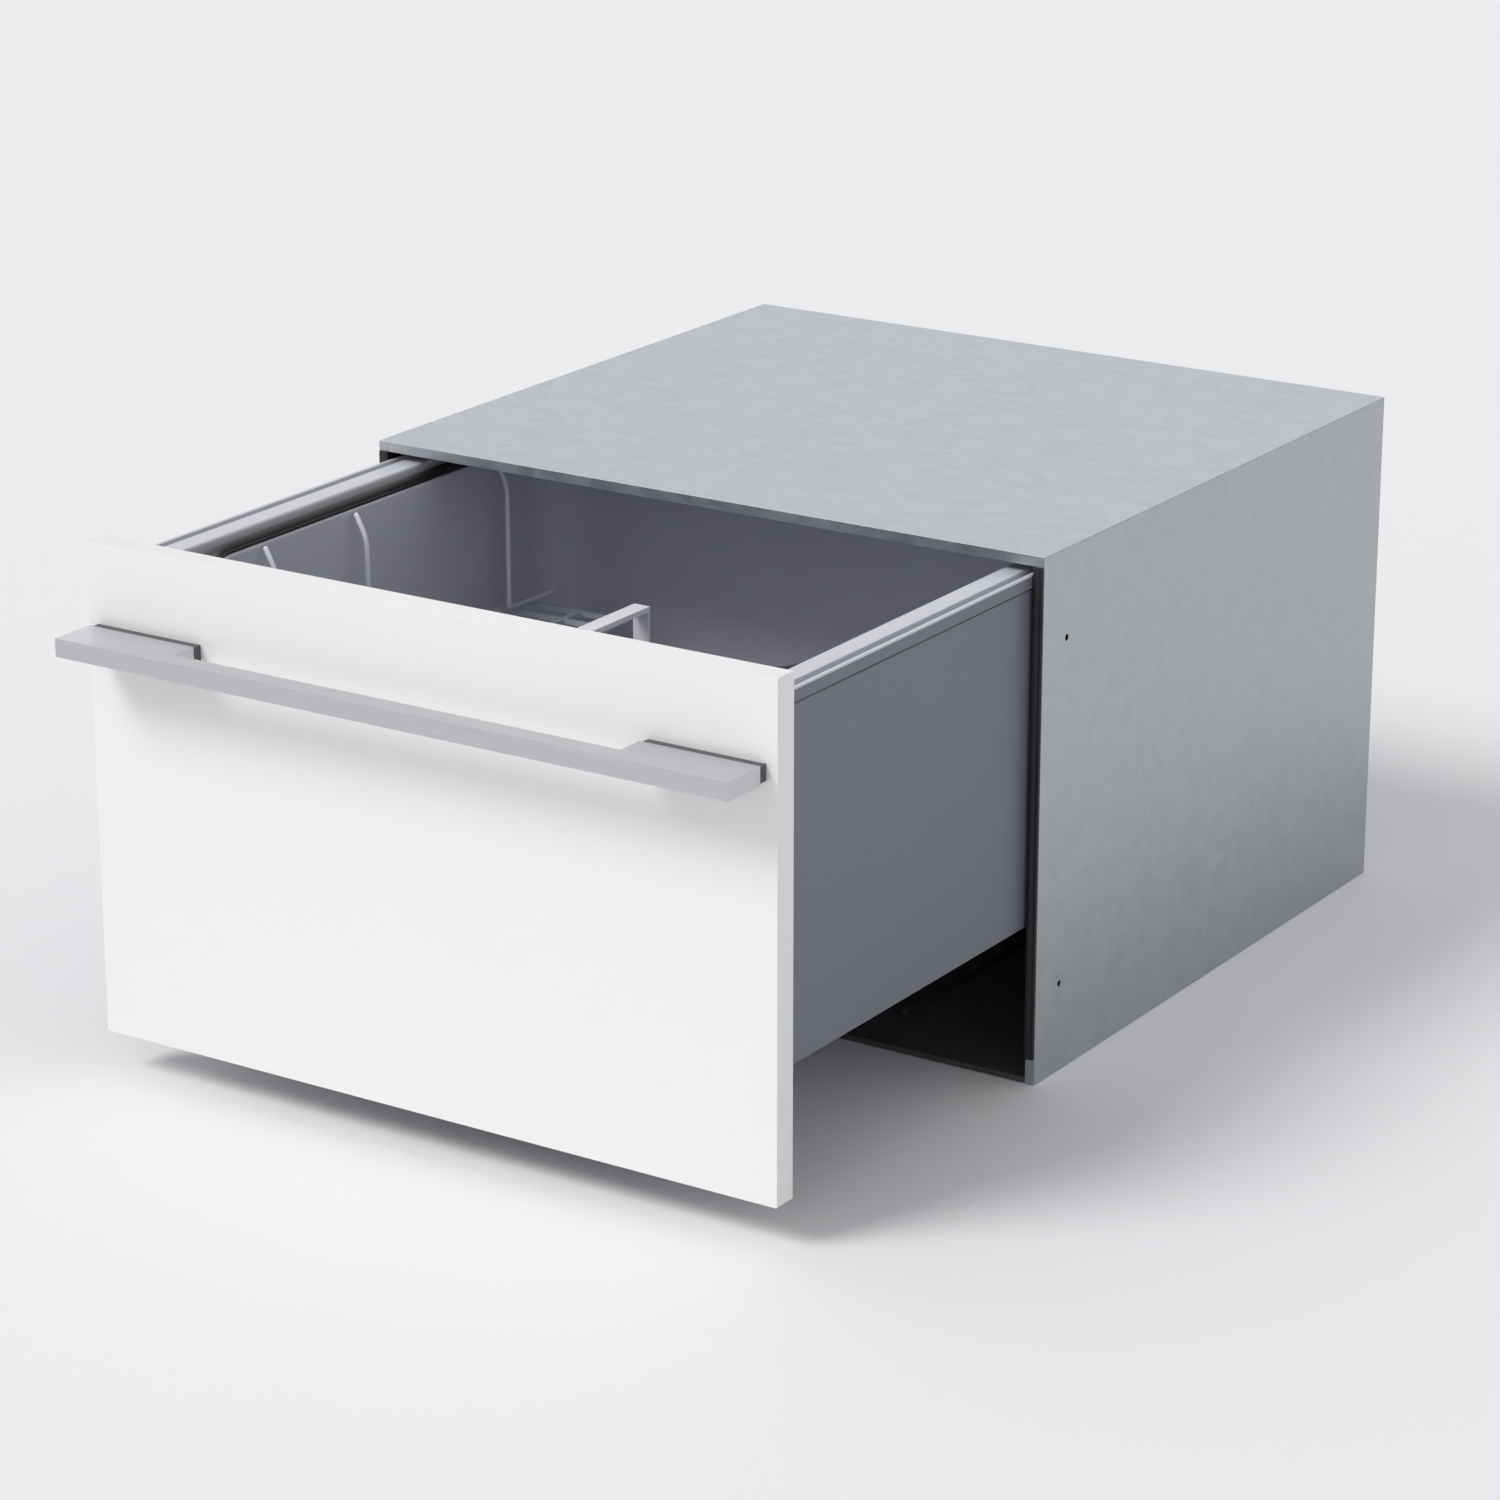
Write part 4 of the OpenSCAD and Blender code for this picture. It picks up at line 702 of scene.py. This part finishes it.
side_wires = []
for y in (-208.5, -98.5, 83.5):
    post = bend([(237.5, y, 129), (237.5, y, 362), (248, y, 381.4)], 9)
    side_wires.append(wire(post, WIRE, (0, 1, 0), 14))
for x, z, y0, y1 in ((234.5, 262, -266.5, 139.5), (235.5, 192, -250.5, 139.5)):
    side_wires.append(wire([(x, y0, z), (x, 0, z), (x, y1, z)], WIRE, (0, 0, 1)))
side_wires += [mirror_x(shape) for shape in side_wires]
for y in (-262.0, 151.0):
    for k in range(-2, 3):
        side_wires.append(wire([(2 * MESH * k, y, z) for z in (131, 170, 208.6)], WIRE, (0, 1, 0)))
    side_wires.append(wire([(-180, y + 1, 206.7), (0, y + 1, 206.7), (180, y + 1, 206.7)], WIRE, (0, 0, 1)))
settle(build("basket_sides", join(*side_wires)), "rack_sides")
print("side wires", len(side_wires))

# %% Tine rows
PITCH, END = 26, 14   # from tine to tine, and from the last tine to the rod's end, in mm
# each row's x, its first tine's y and the number of its tines
ROWS = {"tine_row_left": (-80, -240.5, 13), "tine_row_middle": (40, -56.5, 8),
        "tine_row_right": (120, -240.5, 14), "tine_row_outer": (200, -226.5, 13)}
AXIS_Z, LEAN, TINE = 136.73, math.radians(10), 66.0
saddle_section = curve_corners([(-5, 132.75), (5, 132.75), (5, 141.2), (-5, 141.2)], [0.6, 0.6, 3.6, 3.6])
saddles = []
for name, (x, y0, count) in ROWS.items():
    last = y0 + PITCH * (count - 1)
    pieces = [wire([(x, y, AXIS_Z) for y in (y0 - END, 0, last + END)], 2.5, (0, 0, 1), 14)]
    for k in range(count):
        y = y0 + PITCH * k
        tip = (x + TINE * math.sin(LEAN), y, AXIS_Z + TINE * math.cos(LEAN))
        middle = (x + 30 * math.sin(LEAN), y, AXIS_Z + 30 * math.cos(LEAN))
        pieces.append(wire([(x, y, AXIS_Z - 1), middle, tip], WIRE, (0, 1, 0)))
    settle(build(name + "_wires", join(*pieces)), name)
    saddles += [extrude(saddle_section + np.array([x, 0]), 1, y, y + 6) for y in (y0 - END, last + END - 6)]
settle(round_edges(build("row_saddles", join(*saddles)), 0.6), body="drawer", slot="clip_plastic")
print("tine rows", len(ROWS))

# %% [markdown]
# ## Wash system
#
# The spray arm is two thin mouldings welded along their edge, so it is a flattened tube that swells and
# narrows: its half width is the same function of length as in the solid. The pump, the heater and the hose
# fittings are turned shapes, so a lathe makes them, and what breaks their roundness is a small function
# of the angle: cooling ribs, a thread or six flats.


# %% Shapes turned on a lathe
def lathe(profile, centre, axis=2, sides=64):
    """Turns a profile of (radius, height) pairs in mm round an axis through centre: the point at angle a is
    centre plus radius times (cos a, sin a) across the axis, plus height along it."""
    radius, height = np.array(profile, float).T
    angle = np.linspace(0, 2 * np.pi, sides, endpoint=False)
    across = np.stack([np.outer(radius, np.cos(angle)), np.outer(radius, np.sin(angle)),
                       np.repeat(height[:, None], sides, axis=1)], axis=-1)
    order = {2: [0, 1, 2], 1: [0, 2, 1], 0: [2, 0, 1]}[axis]
    return grid(across[..., order] * MM + np.array(centre) * MM, round_columns=True, caps=True)


print("lathe ready")

# %% Spray arm's shell
TURN = math.radians(28)
ARM_R, ARM_LOW, ARM_T = 195.0, 101.0, 12.0


def about_sump(points):
    """Turns points drawn about the Z axis by the arm's angle, and moves them to the sump's middle, in m."""
    c, s = math.cos(TURN), math.sin(TURN)
    turned = points @ np.array([[c, s, 0], [-s, c, 0], [0, 0, 1]])
    return (turned + np.array([*SUMP_MIDDLE, 0])) * MM


def arm_shell():
    """Half width 15 + 9 sin(pi t^0.8) at t along each arm, closed by a round tip. The section at angle a is
    (w cos a, h sin a), each raised to the power 0.55, so that the flanks are full and the edge is round."""
    round_off = 12 * np.sin(np.radians([12, 24, 36, 48, 60, 70, 80, 87]))
    along = np.concatenate([np.linspace(0, 183, 26), 183 + round_off])
    t = np.minimum(along / 183, 1)
    width = 15 + 9 * np.sin(np.pi * t ** 0.8)
    tip = np.clip((along - 183) / 12, 0, 0.9999)
    shrink = np.sqrt(1 - tip ** 2)
    both = np.concatenate([-along[::-1], along[1:]])
    width = np.concatenate([(width * shrink)[::-1], (width * shrink)[1:]])
    height = ARM_T / 2 * np.concatenate([np.sqrt(shrink)[::-1], np.sqrt(shrink)[1:]])
    height = height * (1 - 0.18 * np.abs(both) / ARM_R)
    a = np.linspace(0, 2 * np.pi, 32, endpoint=False)
    side = np.sign(np.cos(a)) * np.abs(np.cos(a)) ** 0.55
    rise = np.sign(np.sin(a)) * np.abs(np.sin(a)) ** 0.55
    points = np.stack([np.broadcast_to(both[:, None], (len(both), 32)), width[:, None] * side,
                       ARM_LOW + ARM_T / 2 + height[:, None] * rise], axis=-1)
    flat, faces = grid(points, round_columns=True, caps=True)
    return about_sump(flat), faces


print("arm", 2 * ARM_R, "mm long")

# %% Spray arm with hub and jets
hub_profile = [(9, 99.4), (16, 99.4), (17, 100.4), (17, 113.5), (14.5, 117.2), (9, 119.6), (0, 120.1)]
hub_profile += [(0, 118.2), (8.4, 117.6), (8.1, 116), (8.1, 99.4)]
hub_points, hub_faces = lathe(hub_profile, (0, 0, 0), sides=48)
arm = [arm_shell(), (about_sump(hub_points / MM), hub_faces)]
for s in (1, -1):
    for i in range(1, 6):
        at = (s * (ARM_R * i / 6 + 8), s * (7 if i % 2 else -7), 0)
        jet = [(3.4, 111.6), (3.4, 112.5), (2.6, 112.9), (1.5, 112.7), (1.3, 110.5), (0, 110.4)]
        points, faces = lathe(jet, at, sides=20)
        arm.append((about_sump(points / MM), faces))
settle(build("arm_moulding", join(*arm), 45), "spray_arm")
print("jets", len(arm) - 2)

# %% Heater
turn = np.linspace(0, 2 * np.pi, 96, endpoint=False)
ring = np.stack([95 * np.cos(turn), 95 * np.sin(turn) + SUMP_MIDDLE[1], np.full(96, 73.0)], axis=1)
heater = [hoop(ring, 4.0, sides=16)]
for a in np.radians([90, 210, 330]):
    foot = (95 * math.cos(a), SUMP_MIDDLE[1] + 95 * math.sin(a), 0)
    heater.append(lathe([(0, 65), (3.6, 65), (3.6, 66), (2, 67), (2, 71)], foot, sides=20))
settle(build("heater_tube", join(*heater)), "heating_element")
print("heater feet", len(heater) - 1)


# %% Pump wheel
def blade(k):
    """A pump blade: r runs from the hub to the edge, and its angle falls back by 38 degrees as r grows."""
    r = np.linspace(5, 36, 12)
    a = 2 * np.pi * k / 6 - math.radians(38) * (r - 5) / 31
    across = np.stack([-np.sin(a), np.cos(a)], axis=1) * 0.9
    middle = np.stack([r * np.cos(a), r * np.sin(a)], axis=1) + np.array(SUMP_MIDDLE)
    corners = [(middle + s * across, z) for s, z in ((1, 71), (1, 80.5), (-1, 80.5), (-1, 71))]
    points = np.stack([at_height(line, z) for line, z in corners], axis=1)
    return grid(points * MM, round_columns=True, caps=True)


wheel_profile = [(0, 46), (4.2, 46), (5, 47), (5, 68.8), (37, 69), (38, 69.8), (38, 71.2), (37, 72), (9, 72),
                 (5, 76), (5, 80), (4.2, 81), (0, 81)]
wheel = [lathe(wheel_profile, (*SUMP_MIDDLE, 0), sides=72)] + [blade(k) for k in range(6)]
settle(round_edges(build("pump_wheel", join(*wheel)), 0.3), "pump_impeller")
print("blades", len(wheel) - 1)


# %% Wash motor
def motor_can():
    """A turned can whose wall carries 36 cooling ribs: r = 52 + 3 * (0.5 + 0.5 cos 36a)^0.5 between its ends,
    and whose end bells are plain."""
    profile = [(10, 42), (10, 62), (55, 62), (55, 58.5), (53.5, 57.5), (52, 56.5), (52, 55), (52, 31), (52, 29.5),
               (53.5, 28.5), (53.5, 25.5), (51, 22.5), (44, 20.6), (30, 20.2), (0, 20)]
    radius, height = np.array(profile).T
    a = np.linspace(0, 2 * np.pi, 288, endpoint=False)
    ribs = 3.0 * np.sqrt(0.5 + 0.5 * np.cos(36 * a))
    ribbed = np.isin(np.arange(len(profile)), (6, 7)).astype(float)
    r = radius[:, None] + ribbed[:, None] * ribs[None]
    points = np.stack([r * np.cos(a), r * np.sin(a) + SUMP_MIDDLE[1],
                       np.broadcast_to(height[:, None], r.shape)], axis=-1)
    return grid(points * MM, round_columns=True, caps=True)


ears = []
for a in np.radians([45, 135, 225, 315]):
    reach = np.array([math.cos(a), math.sin(a)])
    across = np.array([-math.sin(a), math.cos(a)])
    ear = curve_corners([(46, -8), (69, -8), (69, 8), (46, 8)], [0.5, 7, 7, 0.5])
    outline = ear[:, :1] * reach + ear[:, 1:] * across + np.array(SUMP_MIDDLE)
    ears.append(extrude(outline, 2, 58, 61.9))
settle(round_edges(build("motor_can", join(motor_can(), *ears), 35), 0.4), "wash_motor")
print("motor ears", len(ears))

# %% Fittings are turned about an axis along Y
FITTING_Z = 60
INLET_X, DRAIN_X, GLAND_X = 238.5, 178.5, -238.5


def fitting(x, profile, sides=48, thread=0.0, pitch=2.6):
    """A turned shape along Y at the fittings' height. Where the profile's third number is 1, the radius
    loses thread * (0.5 + 0.5 cos(2 pi y / pitch - a)), which leaves one ridge that winds round it like a
    screw's."""
    table = np.array([(*row, 0)[:3] for row in profile], float)
    radius, y, mask = table.T
    a = np.linspace(0, 2 * np.pi, sides, endpoint=False)
    wave = 0.5 - 0.5 * np.cos(2 * np.pi * y[:, None] / pitch - a[None])
    r = radius[:, None] + thread * mask[:, None] * (wave - 1)
    points = np.stack([x + r * np.cos(a), np.broadcast_to(y[:, None], r.shape), FITTING_Z + r * np.sin(a)],
                      axis=-1)
    return grid(points * MM, round_columns=True, caps=True)


def rounded_block(low, high, radius):
    """A box whose upright edges are rounded; a Bevel modifier rounds the others."""
    section = curve_corners([(low[0], low[2]), (high[0], low[2]), (high[0], high[2]), (low[0], high[2])], radius)
    return extrude(section, 1, low[1], high[1])


print("fittings", DRAIN_X - GLAND_X, "and", INLET_X - DRAIN_X, "mm apart")

# %% Inlet valve, drain elbow and cord gland
screw_y = np.arange(555, 565.6, 0.3)
inlet = [(12.7, 546.5), (12.7, 552.8), (13.2, 553), (13.2, 554.8)] + [(13.2, y, 1) for y in screw_y]
inlet += [(12.4, 566.6), (11.8, 567), (9.6, 567), (9.2, 566.4), (9.2, 545), (0, 545)]
coil = lathe([(0, 76), (10.5, 76), (12, 77.5), (12, 102), (10.8, 104), (4, 104), (4, 103), (0, 103)],
             (INLET_X, 533, 0))
valve = [fitting(INLET_X, inlet, thread=1.0), rounded_block((221.5, 522, 43), (255.5, 549, 77), 4), coil]
settle(round_edges(build("inlet_valve", join(*valve), 38), 0.5), "water_inlet")

drain = [(9, 546.5), (9, 552.8), (9.3, 553.2), (8.2, 554)]
for y in (557.5, 561.5, 565.5):
    drain += [(8.3, y - 3.2), (9.5, y - 0.4), (9.3, y), (8.2, y + 0.1)]
drain += [(8, 566.9), (7.2, 567), (7, 566.4), (7, 545), (0, 545)]
elbow = [fitting(DRAIN_X, drain), rounded_block((165.5, 522, 47), (191.5, 549, 73), 5)]
settle(round_edges(build("drain_elbow", join(*elbow), 34), 0.5), "drain_outlet")

nut = [(8, 543), (10.9, 553.1), (10.9, 555.7), (8.3, 556)]
dome = [(7.8, 543), (7.8, 555.5), (7.4, 556.4), (6, 557), (4.6, 556.8), (4.25, 556.2), (4.25, 544), (0, 544)]
gland = [fitting(GLAND_X, nut, sides=6), fitting(GLAND_X, dome),
         rounded_block((-268.5, 518, 40), (-208.5, 546, 90), 3)]
settle(round_edges(build("cord_gland", join(*gland), 34), 0.4), "power_gland")
print("fittings ready")

# %% [markdown]
# ## Small parts
#
# Balls in their cages, push buttons with a shallow dome, and the rubber strips beside the panel. They are
# small, but the buttons and the strips are what a hand or an eye finds first when the drawer is open.

# %% Ball cages: each strip of thin steel holds a row of balls
BALL = 1.5            # radius
BALL_PITCH = 28       # from ball to ball
CAGE = 197.5          # length of a strip


def cage_row(x, y0, y1, z):
    """A strip 2 mm wide with a ball every 28 mm: each ball is a half circle turned about its upright axis."""
    strip = curve_corners([(x - 1, z - 0.5), (x + 1, z - 0.5), (x + 1, z + 0.5), (x - 1, z + 0.5)], 0.25, 4)
    turn = np.radians(np.linspace(-90, 90, 13))
    half_circle = np.stack([BALL * np.cos(turn), z + BALL * np.sin(turn)], axis=1)
    middles = np.arange(y0 + 8, y1 - 8 + 0.01, BALL_PITCH)
    return [extrude(strip, 1, y0, y1)] + [lathe(half_circle, (x, y, 0), sides=20) for y in middles]


for side, sign in (("left", -1), ("right", 1)):
    low, high = span("ball_cages_" + side)
    outer_z, inner_z = high[2] - BALL, high[2] - BALL - 3 - 1.9
    middle_z = (low[2] + high[2]) / 2
    cages = []
    for x, y0, z in ((277.5, high[1] - CAGE, outer_z), (275.5, low[1], inner_z)):
        for height in (z, 2 * middle_z - z):
            cages += cage_row(sign * x, y0, y0 + CAGE, height)
    settle(build("ball_rows_" + side, join(*cages), 60), "ball_cages_" + side)
print("cages", round(float(low[1]), 1), "to", round(float(high[1]), 1))

# %% Buttons
for name, x in (("button_power", -60), ("button_program", -20), ("button_start", 20), ("button_lock", 60)):
    low, high = span(name)
    top = high[2]
    shape = [(0, low[2]), (4, low[2]), (4, low[2] + 8), (4, top - 3.6), (6, top - 3.5), (6, top - 1.0),
             (5.7, top - 0.45), (5, top - 0.25), (3, top - 0.08), (0, top)]
    settle(build(name + "_cap", lathe(shape, (x, (low[1] + high[1]) / 2, 0), sides=40)), name)
print("button tops at", round(float(top), 1), "mm")

# %% Edge seals
low, high = span("edge_seals")
lip_section = curve_corners([(high[0] - 7.6, high[1]), (high[0] - 7.6, low[1] + 0.9), (high[0] - 5, low[1]),
                             (high[0] - 2.4, low[1] + 1.1), (high[0], low[1] + 0.6), (high[0], high[1])],
                            [0.2, 0.5, 1.6, 0.8, 0.4, 0.2])
seal = extrude(lip_section, 2, low[2], high[2])
settle(build("edge_seal_strips", join(seal, mirror_x(seal))), "edge_seals")
print("seals", round(float(high[2] - low[2]), 1), "mm high")
